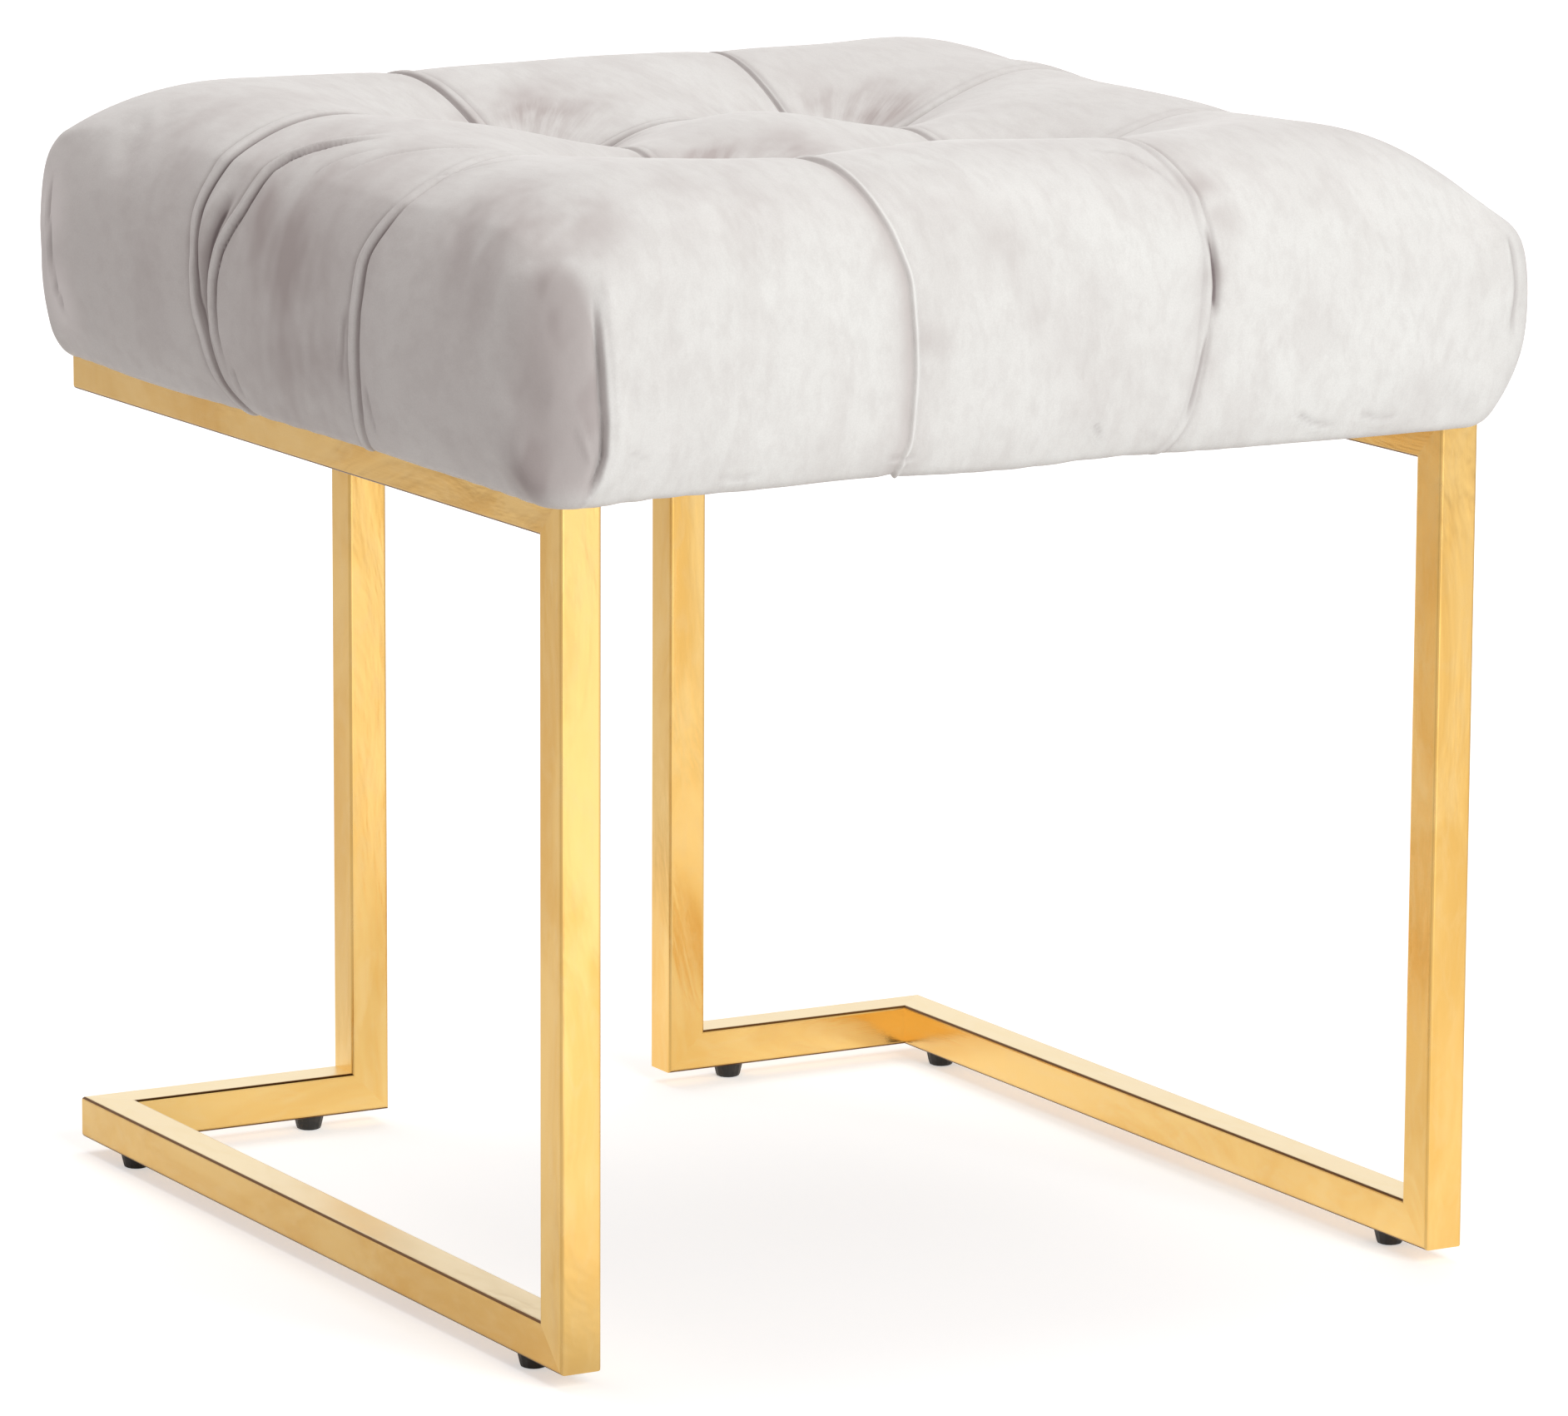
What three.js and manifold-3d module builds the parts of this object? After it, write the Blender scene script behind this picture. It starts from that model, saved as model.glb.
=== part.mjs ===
import * as THREE from 'three';
import { mergeVertices } from 'three/addons/utils/BufferGeometryUtils.js';
import Module from 'manifold-3d';

// Square tufted stool on two mirrored side frames, each one closed loop of six mitred tubes.
// Millimetres, +Z up, the front towards -Y. The origin is on the floor under the middle.

const wasm = await Module();
wasm.setup();

// Side frames of square tube
const frameWidth = 445;
const frameDepth = 468;
const frameHeight = 366;
const returnLength = 148;
const tubeSize = 19;
const tubeWall = 1.2;
const tubeOuterRadius = 1.6;
const tubeInnerRadius = 0.6;

// Feet, pressed into holes in the bottom rails
const footHeight = 7;
const footCollarDiameter = 14.4;
const footSoleDiameter = 11.8;
const footSoleRound = 1.5;
const footStemDiameter = 7.4;
const footStemLength = 9;
const footBarbDiameter = 9.2;
const footBarbThickness = 1.6;
const footFrontSetback = 42;
const footRearSetback = 38;
const footReturnSetback = 111;

// Screws, washers and threaded inserts that hold the seat board on the top rails
const screwDiameter = 6;
const screwLength = 14;
const screwHeadDiameter = 10;
const screwHeadHeight = 5;
const screwSocketSize = 5;
const screwSocketDepth = 2.6;
const screwTipChamfer = 0.8;
const washerDiameter = 12;
const washerThickness = 1.4;
const insertDiameter = 9;
const insertLength = 10.5;
const insertChamfer = 0.6;
const railScrewSpacing = 300;
const returnScrewSetback = 96;

// Seat board and the cloth under it
const boardThickness = 12;
const dustCoverThickness = 0.8;
const dustCoverFrontSetback = 12;

// Cushion
const cushionHeight = 125;
const cushionOverhang = 18;
const cushionCornerRadius = 20;
const shoulderCornerRadius = 28;
const coverThickness = 1.5;
const coverFold = 30;
const lipDrop = 4.6;
const lipOverhang = 6;
const lipClearance = 0.6;
const lipCornerRadius = 1;
const shoulderDrop = 30;
const shoulderRun = 84;
const shoulderPower = 2.4;
const shoulderInset = 13;

// Tufts and the pleats that run through them
const tuftSpacingX = 152;
const tuftSpacingY = 148;
const tuftBroadDepth = 22;
const tuftBroadReach = 56;
const tuftCoreDepth = 20;
const tuftCoreReach = 20;
const pleatDepth = 3.5;
const pleatReach = 9;
const pleatHalfWidth = 11;

// Tuft buttons with their twine and tie washers
const buttonDiameter = 19;
const buttonThickness = 7;
const buttonRim = 1.2;
const buttonDomeShare = 0.72;
const twineDiameter = 2;
const tieWasherDiameter = 16;
const tieWasherThickness = 1.2;

// Clearances, and the overrun of every cut
const seatGap = 0.3;
const holeClearance = 0.3;
const cutOverrun = 4;

// Facet counts
const footSides = 14;
const smallSides = 12;
const twineSides = 8;
const arcSteps = 2;
const hexagonSides = 6;

// Places that follow from the sizes above
const frameBottom = footHeight;
const frameTop = frameBottom + frameHeight;
const coverBottom = frameTop + seatGap;
const boardBottom = coverBottom + coverThickness + seatGap;
const boardTop = boardBottom + boardThickness;
const crownTop = coverBottom + cushionHeight;
const railLineX = (frameWidth - tubeSize) / 2;
const railLineY = (frameDepth - tubeSize) / 2;
const returnLineX = railLineX - returnLength + tubeSize;
const tuftX = tuftSpacingX / 2;
const tuftY = tuftSpacingY / 2;
const pitFloorRadius = pleatHalfWidth * Math.SQRT2;
const bellyX = frameWidth / 2 + cushionOverhang;
const bellyY = frameDepth / 2 + cushionOverhang;

// Materials
function material(name, color, roughness, metalness) {
  return new THREE.MeshStandardMaterial({ name, color, roughness, metalness });
}
const goldTube = material('gold_tube', 0xd9ae5c, 0.16, 1);
const velvet = material('velvet', 0xcfcac6, 0.9, 0);
const foam = material('foam', 0xe8dfc0, 0.95, 0);
const plywood = material('plywood', 0xb98f5e, 0.7, 0);
const dustCloth = material('dust_cloth', 0x1d1d1f, 0.95, 0);
const blackPlastic = material('black_plastic', 0x1a1715, 0.55, 0);
const zincSteel = material('zinc_steel', 0xb4b7ba, 0.35, 0.9);
const twineFibre = material('twine_fibre', 0xd8d0bd, 0.95, 0);

const stool = new THREE.Group();

function addPiece(name, geometry, pieceMaterial, position = new THREE.Vector3()) {
  const mesh = new THREE.Mesh(geometry, pieceMaterial);
  mesh.name = name;
  mesh.position.copy(position);
  stool.add(mesh);
  return mesh;
}

// Closed meshes and cuts
function closedMesh(geometry) {
  const bare = geometry.clone();
  bare.deleteAttribute('normal');
  bare.deleteAttribute('uv');
  const merged = mergeVertices(bare);
  const corners = merged.index.array;
  const kept = [];
  for (let i = 0; i < corners.length; i += 3) {
    const [a, b, c] = corners.slice(i, i + 3);
    if (a !== b && b !== c && c !== a) kept.push(a, b, c);
  }
  merged.setIndex(kept);
  merged.computeVertexNormals();
  return merged;
}

function toSolid(geometry) {
  const closed = closedMesh(geometry);
  return new wasm.Manifold(new wasm.Mesh({
    numProp: 3,
    vertProperties: new Float32Array(closed.attributes.position.array),
    triVerts: new Uint32Array(closed.index.array),
  }));
}

function cut(geometry, cutters) {
  let solid = toSolid(geometry);
  for (const cutter of cutters) solid = solid.subtract(toSolid(cutter));
  const { vertProperties, triVerts } = solid.getMesh();
  const result = new THREE.BufferGeometry();
  result.setAttribute('position', new THREE.BufferAttribute(vertProperties, 3));
  result.setIndex(new THREE.BufferAttribute(triVerts, 1));
  result.computeVertexNormals();
  return result;
}

// A revolved piece about Z. The profile is a list of [radius, height], bottom to top outside.
function revolve(profile, sides) {
  const points = profile.map(([radius, height]) => new THREE.Vector2(radius, height));
  const geometry = new THREE.LatheGeometry(points, sides);
  geometry.rotateX(Math.PI / 2);
  return closedMesh(geometry);
}

function ringProfile(innerRadius, outerRadius, thickness) {
  return [[innerRadius, 0], [outerRadius, 0], [outerRadius, thickness], [innerRadius, thickness],
    [innerRadius, 0]];
}

function uprightHole(diameter, x, y, fromZ, toZ, sides = smallSides) {
  const hole = new THREE.CylinderGeometry(diameter / 2, diameter / 2, toZ - fromZ, sides);
  hole.rotateX(Math.PI / 2);
  hole.translate(x, y, (fromZ + toZ) / 2);
  return hole;
}

function roundedRectangle(width, depth, radius) {
  const x = width / 2;
  const y = depth / 2;
  const outline = new THREE.Shape();
  outline.moveTo(x, radius - y);
  outline.lineTo(x, y - radius);
  outline.absarc(x - radius, y - radius, radius, 0, Math.PI / 2);
  outline.lineTo(radius - x, y);
  outline.absarc(radius - x, y - radius, radius, Math.PI / 2, Math.PI);
  outline.lineTo(-x, radius - y);
  outline.absarc(radius - x, radius - y, radius, Math.PI, 3 * Math.PI / 2);
  outline.lineTo(x - radius, -y);
  outline.absarc(x - radius, radius - y, radius, -Math.PI / 2, 0);
  return outline;
}

// The places of the screws and feet of one side, outboard is -1 on the left and 1 on the right
function screwPlaces(outboard) {
  return {
    front: [outboard * railLineX, -railScrewSpacing / 2],
    rear: [outboard * railLineX, railScrewSpacing / 2],
    return: [outboard * (frameWidth / 2 - returnScrewSetback), railLineY],
  };
}

function footPlaces(outboard) {
  return {
    front: [outboard * railLineX, footFrontSetback - frameDepth / 2],
    rear: [outboard * railLineX, frameDepth / 2 - footRearSetback],
    return: [outboard * (frameWidth / 2 - footReturnSetback), railLineY],
  };
}

const sides = { left: -1, right: 1 };
const tuftPlaces = {
  front_left: [-tuftX, -tuftY],
  front_right: [tuftX, -tuftY],
  rear_left: [-tuftX, tuftY],
  rear_right: [tuftX, tuftY],
};

// One tube of a closed loop. Both ends are cut along the mitre planes of the bends they meet at.
function loopTube(corners, index) {
  const count = corners.length;
  const before = corners[(index + count - 1) % count];
  const start = corners[index];
  const end = corners[(index + 1) % count];
  const after = corners[(index + 2) % count];
  const along = end.clone().sub(start).normalize();
  const startTurn = before.clone().sub(start).normalize();
  const endTurn = after.clone().sub(end).normalize();
  const across = startTurn.clone();
  const upright = along.clone().cross(across);
  const section = roundedRectangle(tubeSize, tubeSize, tubeOuterRadius);
  const bore = tubeSize - 2 * tubeWall;
  section.holes.push(roundedRectangle(bore, bore, tubeInnerRadius));
  const length = end.distanceTo(start);
  const geometry = new THREE.ExtrudeGeometry(section, {
    depth: length,
    bevelEnabled: false,
    curveSegments: arcSteps,
  });
  const places = geometry.attributes.position;
  for (let i = 0; i < places.count; i += 1) {
    const offset = across.clone().multiplyScalar(places.getX(i));
    offset.addScaledVector(upright, places.getY(i));
    const atEnd = places.getZ(i) > length / 2;
    places.setZ(i, atEnd ? length - offset.dot(endTurn) : offset.dot(startTurn));
  }
  const frame = new THREE.Matrix4().makeBasis(across, upright, along);
  return { geometry, turn: new THREE.Quaternion().setFromRotationMatrix(frame), start };
}

// Holes through the walls of a tube, given in the stool's own axes
function drillTube(tube, holes) {
  const toTube = new THREE.Matrix4().compose(tube.start, tube.turn, new THREE.Vector3(1, 1, 1)).invert();
  return cut(tube.geometry, holes.map((hole) => hole.applyMatrix4(toTube)));
}

// Front leg, top rails, rear leg and bottom rails of one side, corner by corner
function addSideFrame(side, outboard) {
  const outerX = outboard * railLineX;
  const innerX = outboard * returnLineX;
  const low = frameBottom + tubeSize / 2;
  const high = frameTop - tubeSize / 2;
  const corners = [
    new THREE.Vector3(outerX, -railLineY, low),
    new THREE.Vector3(outerX, -railLineY, high),
    new THREE.Vector3(outerX, railLineY, high),
    new THREE.Vector3(innerX, railLineY, high),
    new THREE.Vector3(innerX, railLineY, low),
    new THREE.Vector3(outerX, railLineY, low),
  ];
  const names = ['front_leg', 'side_rail_top', 'rear_rail_top', 'rear_leg', 'rear_rail_bottom',
    'side_rail_bottom'];
  const screws = screwPlaces(outboard);
  const feet = footPlaces(outboard);
  const screwed = { side_rail_top: [screws.front, screws.rear], rear_rail_top: [screws.return] };
  const footed = { side_rail_bottom: [feet.front, feet.rear], rear_rail_bottom: [feet.return] };
  names.forEach((name, index) => {
    const tube = loopTube(corners, index);
    const holes = [];
    for (const [x, y] of screwed[name] ?? []) {
      holes.push(uprightHole(screwDiameter + 2 * holeClearance, x, y, high, frameTop + cutOverrun));
      holes.push(uprightHole(washerDiameter + 2 * holeClearance, x, y,
        frameTop - tubeSize - cutOverrun, high));
    }
    for (const [x, y] of footed[name] ?? []) {
      holes.push(uprightHole(footStemDiameter + 2 * holeClearance, x, y,
        frameBottom - cutOverrun, low, footSides));
    }
    const mesh = addPiece(`${side}_${name}`, drillTube(tube, holes), goldTube, tube.start);
    mesh.quaternion.copy(tube.turn);
  });
}

// A tapered glide: rounded sole, collar under the tube, stem and barb inside it
function footGeometry() {
  const sole = footSoleDiameter / 2;
  const stem = footStemDiameter / 2;
  const barbBottom = footHeight + tubeWall + holeClearance;
  const roundShare = 1 - Math.SQRT1_2;
  return revolve([
    [0, 0],
    [sole - footSoleRound, 0],
    [sole - footSoleRound * roundShare, footSoleRound * roundShare],
    [sole, footSoleRound],
    [footCollarDiameter / 2, footHeight],
    [stem, footHeight],
    [stem, barbBottom],
    [footBarbDiameter / 2, barbBottom],
    [stem, barbBottom + footBarbThickness],
    [stem - footSoleRound, footHeight + footStemLength],
    [0, footHeight + footStemLength],
  ], footSides);
}

function addFeet(side, outboard) {
  for (const [name, [x, y]] of Object.entries(footPlaces(outboard))) {
    addPiece(`${side}_${name}_foot`, footGeometry(), blackPlastic, new THREE.Vector3(x, y, 0));
  }
}

// Screws stand inside the top rails: head and washer under the upper wall, tip in the board
function screwGeometry() {
  const shank = screwDiameter / 2;
  const head = screwHeadDiameter / 2;
  const body = revolve([
    [0, -screwHeadHeight],
    [head, -screwHeadHeight],
    [head, 0],
    [shank, 0],
    [shank, screwLength - screwTipChamfer],
    [shank - screwTipChamfer, screwLength],
    [0, screwLength],
  ], smallSides);
  const acrossCorners = screwSocketSize / Math.cos(Math.PI / hexagonSides);
  const socket = uprightHole(acrossCorners, 0, 0, -screwHeadHeight - cutOverrun,
    screwSocketDepth - screwHeadHeight, hexagonSides);
  return cut(body, [socket]);
}

function insertGeometry() {
  const bore = screwDiameter / 2 + holeClearance;
  const outside = insertDiameter / 2;
  return revolve([
    [bore, 0],
    [outside - insertChamfer, 0],
    [outside, insertChamfer],
    [outside, insertLength - insertChamfer],
    [outside - insertChamfer, insertLength],
    [bore, insertLength],
    [bore, 0],
  ], smallSides);
}

function addFasteners(side, outboard) {
  const wallUnderside = frameTop - tubeWall;
  const washerBottom = wallUnderside - seatGap - washerThickness;
  const washerBore = screwDiameter / 2 + holeClearance;
  for (const [name, [x, y]] of Object.entries(screwPlaces(outboard))) {
    const prefix = `${side}_${name}`;
    addPiece(`${prefix}_washer`, revolve(ringProfile(washerBore, washerDiameter / 2, washerThickness),
      smallSides), zincSteel, new THREE.Vector3(x, y, washerBottom));
    addPiece(`${prefix}_screw`, screwGeometry(), zincSteel,
      new THREE.Vector3(x, y, washerBottom - seatGap));
    addPiece(`${prefix}_insert`, insertGeometry(), zincSteel, new THREE.Vector3(x, y, boardBottom));
  }
}

// Board with a hole for each threaded insert and each tuft's twine
function addSeatBoard() {
  const outline = roundedRectangle(frameWidth, frameDepth, cushionCornerRadius);
  const board = new THREE.ExtrudeGeometry(outline, {
    depth: boardThickness,
    bevelEnabled: false,
    curveSegments: arcSteps,
  });
  const below = -cutOverrun;
  const above = boardThickness + cutOverrun;
  const holes = [];
  for (const outboard of Object.values(sides)) {
    for (const [x, y] of Object.values(screwPlaces(outboard))) {
      holes.push(uprightHole(insertDiameter + 2 * holeClearance, x, y, below, above));
    }
  }
  for (const [x, y] of Object.values(tuftPlaces)) {
    holes.push(uprightHole(twineDiameter + 2 * holeClearance, x, y, below, above, twineSides));
  }
  addPiece('seat_board', cut(board, holes), plywood, new THREE.Vector3(0, 0, boardBottom));
}

// Black cloth that closes the underside between the rails, flush with their tops
function addDustCover() {
  const width = frameWidth - 2 * tubeSize - 2 * seatGap;
  const front = dustCoverFrontSetback - frameDepth / 2;
  const rear = frameDepth / 2 - tubeSize - seatGap;
  const geometry = new THREE.BoxGeometry(width, rear - front, dustCoverThickness);
  const middle = new THREE.Vector3(0, (front + rear) / 2, coverBottom - seatGap - dustCoverThickness / 2);
  addPiece('dust_cover', geometry, dustCloth, middle);
}

// How far the top lies below the crown at a place: shoulders, tuft pits and pleats
function tuftPit(distance) {
  const broad = tuftBroadDepth * Math.exp(-((distance / tuftBroadReach) ** 2));
  return broad + tuftCoreDepth * Math.exp(-distance / tuftCoreReach);
}

function edgeDrop(distance) {
  const nearness = Math.max(0, 1 - distance / shoulderRun);
  return shoulderDrop * nearness ** shoulderPower;
}

function pleatDrop(distance, tuftDistance) {
  const openness = THREE.MathUtils.smoothstep(tuftDistance, pitFloorRadius, 2 * pitFloorRadius);
  return pleatDepth * openness * Math.exp(-distance / pleatReach);
}

function topDrop(x, y) {
  const offsetX = Math.abs(Math.abs(x) - tuftX);
  const offsetY = Math.abs(Math.abs(y) - tuftY);
  let drop = edgeDrop(bellyX - Math.abs(x)) + edgeDrop(bellyY - Math.abs(y));
  for (const [pitX, pitY] of Object.values(tuftPlaces)) {
    drop += tuftPit(Math.max(0, Math.hypot(x - pitX, y - pitY) - pitFloorRadius));
  }
  drop += pleatDrop(offsetX, Math.hypot(offsetX, offsetY));
  drop += pleatDrop(offsetY, Math.hypot(offsetX, offsetY));
  return drop;
}

// Grid lines across half of the top: close together at the pleat, one where the corner begins
function gridLines(half, tuft) {
  const cornerStart = half - shoulderCornerRadius;
  const panelMiddle = (tuft + pleatHalfWidth + cornerStart) / 2;
  const lines = [tuft - pleatHalfWidth, tuft, tuft + pleatHalfWidth, panelMiddle, cornerStart, half];
  return [...lines.map((line) => -line).reverse(), 0, ...lines];
}

// A place on the rounded rectangle through the grid point (u, v), each from -1 to 1
function planPoint(u, v, halfX, halfY, radius) {
  const ring = Math.max(Math.abs(u), Math.abs(v));
  const round = radius * ring;
  const square = new THREE.Vector2(u * halfX, v * halfY);
  const coreX = ring * halfX - round;
  const coreY = ring * halfY - round;
  const core = new THREE.Vector2(
    THREE.MathUtils.clamp(square.x, -coreX, coreX),
    THREE.MathUtils.clamp(square.y, -coreY, coreY),
  );
  const outward = square.clone().sub(core);
  return core.add(outward.setLength(round));
}

// Rings of the side wall from the shoulder down: inset from the belly, height and pleat, as shares
const wallInsetShares = [0.1, 0, 0.02, 0.12];
const wallHeightShares = [0.67, 0.49, 0.3, 0.12];
const wallPleatShares = [0.9, 0.9, 0.8, 0.5];

function wallRings(inward) {
  return wallHeightShares.map((share, k) => ({
    inset: wallInsetShares[k] * cushionOverhang + inward,
    height: coverBottom + share * cushionHeight,
    pleat: wallPleatShares[k] * pleatDepth,
    radius: cushionCornerRadius,
  }));
}

// The cushion's skin, moved inwards by a depth: its top grid, then its wall rings and foot rings
function cushionSkin(inward, footRings) {
  const halfX = bellyX - shoulderInset;
  const halfY = bellyY - shoulderInset;
  const xs = gridLines(halfX, tuftX).map((x) => x / halfX);
  const ys = gridLines(halfY, tuftY).map((y) => y / halfY);
  const last = xs.length - 1;
  const vertices = [];
  const faces = [];
  ys.forEach((v) => {
    xs.forEach((u) => {
      const plan = planPoint(u, v, halfX - inward, halfY - inward, shoulderCornerRadius - inward);
      vertices.push(new THREE.Vector3(plan.x, plan.y, crownTop - topDrop(plan.x, plan.y) - inward));
    });
  });
  for (let j = 0; j < last; j += 1) {
    for (let i = 0; i < last; i += 1) {
      const a = j * (last + 1) + i;
      const b = a + 1;
      const c = b + last + 1;
      const d = a + last + 1;
      if ((i < last / 2) === (j < last / 2)) faces.push([a, b, c], [a, c, d]);
      else faces.push([a, b, d], [b, c, d]);
    }
  }
  const border = [];
  for (let i = 0; i < last; i += 1) border.push([i, 0]);
  for (let j = 0; j < last; j += 1) border.push([last, j]);
  for (let i = last; i > 0; i -= 1) border.push([i, last]);
  for (let j = last; j > 0; j -= 1) border.push([0, j]);
  let above = border.map(([i, j]) => j * (last + 1) + i);

  for (const ring of [...wallRings(inward), ...footRings]) {
    const first = vertices.length;
    border.forEach(([i, j]) => {
      const onSide = i === 0 || i === last;
      const fromPleat = onSide ? Math.abs(ys[j] * halfY) - tuftY : Math.abs(xs[i] * halfX) - tuftX;
      const inset = ring.inset + ring.pleat * Math.exp(-Math.abs(fromPleat) / pleatReach);
      const radius = Math.max(lipCornerRadius, ring.radius - inset);
      const plan = planPoint(xs[i], ys[j], bellyX - inset, bellyY - inset, radius);
      vertices.push(new THREE.Vector3(plan.x, plan.y, ring.height));
    });
    for (let k = 0; k < border.length; k += 1) {
      const next = (k + 1) % border.length;
      faces.push([above[k], first + k, first + next], [above[k], first + next, above[next]]);
    }
    above = border.map((_, k) => first + k);
  }
  return { vertices, faces, rim: above };
}

function meshFrom(vertices, faces) {
  const geometry = new THREE.BufferGeometry();
  geometry.setFromPoints(vertices);
  geometry.setIndex(faces.flat());
  return closedMesh(geometry);
}

// Velvet cover: a shell open underneath. Its lip hangs over the rails and its hem is folded in
// between them and the board.
function coverGeometry() {
  const foldInset = cushionOverhang + coverFold;
  const lipRadius = cushionOverhang - lipClearance + lipCornerRadius;
  const outer = cushionSkin(0, [
    { inset: cushionOverhang - lipOverhang, height: frameTop - lipDrop, pleat: 0, radius: lipRadius },
    { inset: cushionOverhang - lipClearance, height: coverBottom, pleat: 0, radius: lipRadius },
    { inset: foldInset, height: coverBottom, pleat: 0, radius: lipRadius },
  ]);
  const hemTop = coverBottom + coverThickness;
  const inner = cushionSkin(coverThickness, [
    { inset: cushionOverhang - seatGap, height: hemTop, pleat: 0, radius: cushionCornerRadius },
    { inset: foldInset, height: hemTop, pleat: 0, radius: lipRadius },
  ]);
  const shift = outer.vertices.length;
  const faces = [...outer.faces];
  inner.faces.forEach(([a, b, c]) => faces.push([a + shift, c + shift, b + shift]));
  outer.rim.forEach((corner, k) => {
    const next = (k + 1) % outer.rim.length;
    const [a, b] = [corner, outer.rim[next]];
    const [c, d] = [inner.rim[next] + shift, inner.rim[k] + shift];
    faces.push([a, d, c], [a, c, b]);
  });
  return meshFrom([...outer.vertices, ...inner.vertices], faces);
}

// Foam block: the same form inside the cover, flat where it lies on the board
function foamGeometry() {
  const inward = coverThickness + seatGap;
  const baseHeight = boardTop + seatGap;
  const baseInset = wallInsetShares.at(-1) * cushionOverhang + 2 * inward;
  const basePleat = wallPleatShares.at(-1) * pleatDepth;
  const skin = cushionSkin(inward, [
    { inset: baseInset, height: baseHeight, pleat: basePleat, radius: cushionCornerRadius },
  ]);
  const centre = skin.vertices.length;
  const vertices = [...skin.vertices, new THREE.Vector3(0, 0, baseHeight)];
  const faces = [...skin.faces];
  skin.rim.forEach((corner, k) => {
    faces.push([centre, skin.rim[(k + 1) % skin.rim.length], corner]);
  });
  return meshFrom(vertices, faces);
}

function addCushion() {
  const screwHoles = [];
  for (const outboard of Object.values(sides)) {
    for (const [x, y] of Object.values(screwPlaces(outboard))) {
      screwHoles.push(uprightHole(screwDiameter + 2 * holeClearance, x, y,
        coverBottom - cutOverrun, boardBottom + seatGap, twineSides));
    }
  }
  const twineHoles = Object.values(tuftPlaces).map(([x, y]) => (
    uprightHole(twineDiameter + 2 * holeClearance, x, y, boardBottom, crownTop, twineSides)));
  addPiece('velvet_cover', cut(coverGeometry(), [...screwHoles, ...twineHoles]), velvet);
  addPiece('foam_pad', cut(foamGeometry(), twineHoles), foam);
}

// Covered button in each pit, its twine down through foam and board, and the tie washer below
function buttonGeometry() {
  const radius = buttonDiameter / 2;
  const bore = twineDiameter / 2 + holeClearance;
  return revolve([
    [bore, 0],
    [radius - buttonRim, 0],
    [radius, buttonRim],
    [radius, 2 * buttonRim],
    [radius * buttonDomeShare, buttonThickness - buttonRim],
    [0, buttonThickness],
    [0, buttonThickness / 2],
    [bore, buttonThickness / 2],
    [bore, 0],
  ], smallSides);
}

function addTufts() {
  const washerTop = boardBottom - seatGap;
  const washerBottom = washerTop - tieWasherThickness;
  const bore = twineDiameter / 2 + holeClearance;
  for (const [name, [x, y]] of Object.entries(tuftPlaces)) {
    const pitFloor = crownTop - topDrop(x, y);
    const buttonBottom = pitFloor + 2 * seatGap;
    const twineTop = buttonBottom + buttonThickness / 2 - seatGap;
    addPiece(`${name}_button`, buttonGeometry(), velvet, new THREE.Vector3(x, y, buttonBottom));
    const twine = uprightHole(twineDiameter, 0, 0, washerBottom - twineTop, 0, twineSides);
    addPiece(`${name}_twine`, twine, twineFibre, new THREE.Vector3(x, y, twineTop));
    const washer = revolve(ringProfile(bore, tieWasherDiameter / 2, tieWasherThickness), smallSides);
    addPiece(`${name}_tie_washer`, washer, blackPlastic, new THREE.Vector3(x, y, washerBottom));
  }
}

for (const [side, outboard] of Object.entries(sides)) {
  addSideFrame(side, outboard);
  addFeet(side, outboard);
  addFasteners(side, outboard);
}
addDustCover();
addSeatBoard();
addCushion();
addTufts();

export default stool;
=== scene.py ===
# %% [markdown]
# # A tufted velvet stool on two polished loop frames
# The stool was first drawn as solid parts: square tubes, feet, screws, a seat board and a plain
# cushion. This lesson dresses those parts. It keeps every rigid part where it is and gives it a
# finish, and it makes the soft parts again as cloth. All lengths are in metres, the floor lies at
# z = 0, the front looks towards -Y, and the left side is -X.

# %% Load the stool
import math

import bmesh
import bpy
import numpy as np
from mathutils import Matrix, Vector


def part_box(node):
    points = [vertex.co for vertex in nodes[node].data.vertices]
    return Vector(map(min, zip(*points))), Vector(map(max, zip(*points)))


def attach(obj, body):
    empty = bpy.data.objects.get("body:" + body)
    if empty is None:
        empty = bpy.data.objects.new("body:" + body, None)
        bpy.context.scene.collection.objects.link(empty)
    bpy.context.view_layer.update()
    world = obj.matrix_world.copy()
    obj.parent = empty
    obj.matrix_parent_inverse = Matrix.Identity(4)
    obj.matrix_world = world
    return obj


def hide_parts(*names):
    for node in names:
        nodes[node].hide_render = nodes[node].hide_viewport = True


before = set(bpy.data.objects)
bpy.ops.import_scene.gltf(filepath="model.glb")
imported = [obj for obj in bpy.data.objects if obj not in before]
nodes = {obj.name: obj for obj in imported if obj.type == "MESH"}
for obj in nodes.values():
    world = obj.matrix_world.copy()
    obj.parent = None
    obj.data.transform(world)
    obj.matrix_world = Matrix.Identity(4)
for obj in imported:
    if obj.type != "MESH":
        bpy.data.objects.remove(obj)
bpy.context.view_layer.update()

print("parts loaded:", len(nodes))

# %% [markdown]
# The sizes that this lesson needs are read off the loaded parts where it can, so that the cloth
# fits the frame. The cushion's own curve is written in millimetres, because a tailor's sizes are
# easier to read that way, and `MM` turns them into metres at the very end.

# %% Sizes taken from the parts
MM = 0.001


def tell(*words):
    """Prints the words and rounds the numbers among them."""
    print(*(round(word, 2) if isinstance(word, float) else word for word in words))


def box_mm(name):
    low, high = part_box(name)
    return np.array(low) / MM, np.array(high) / MM


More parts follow.
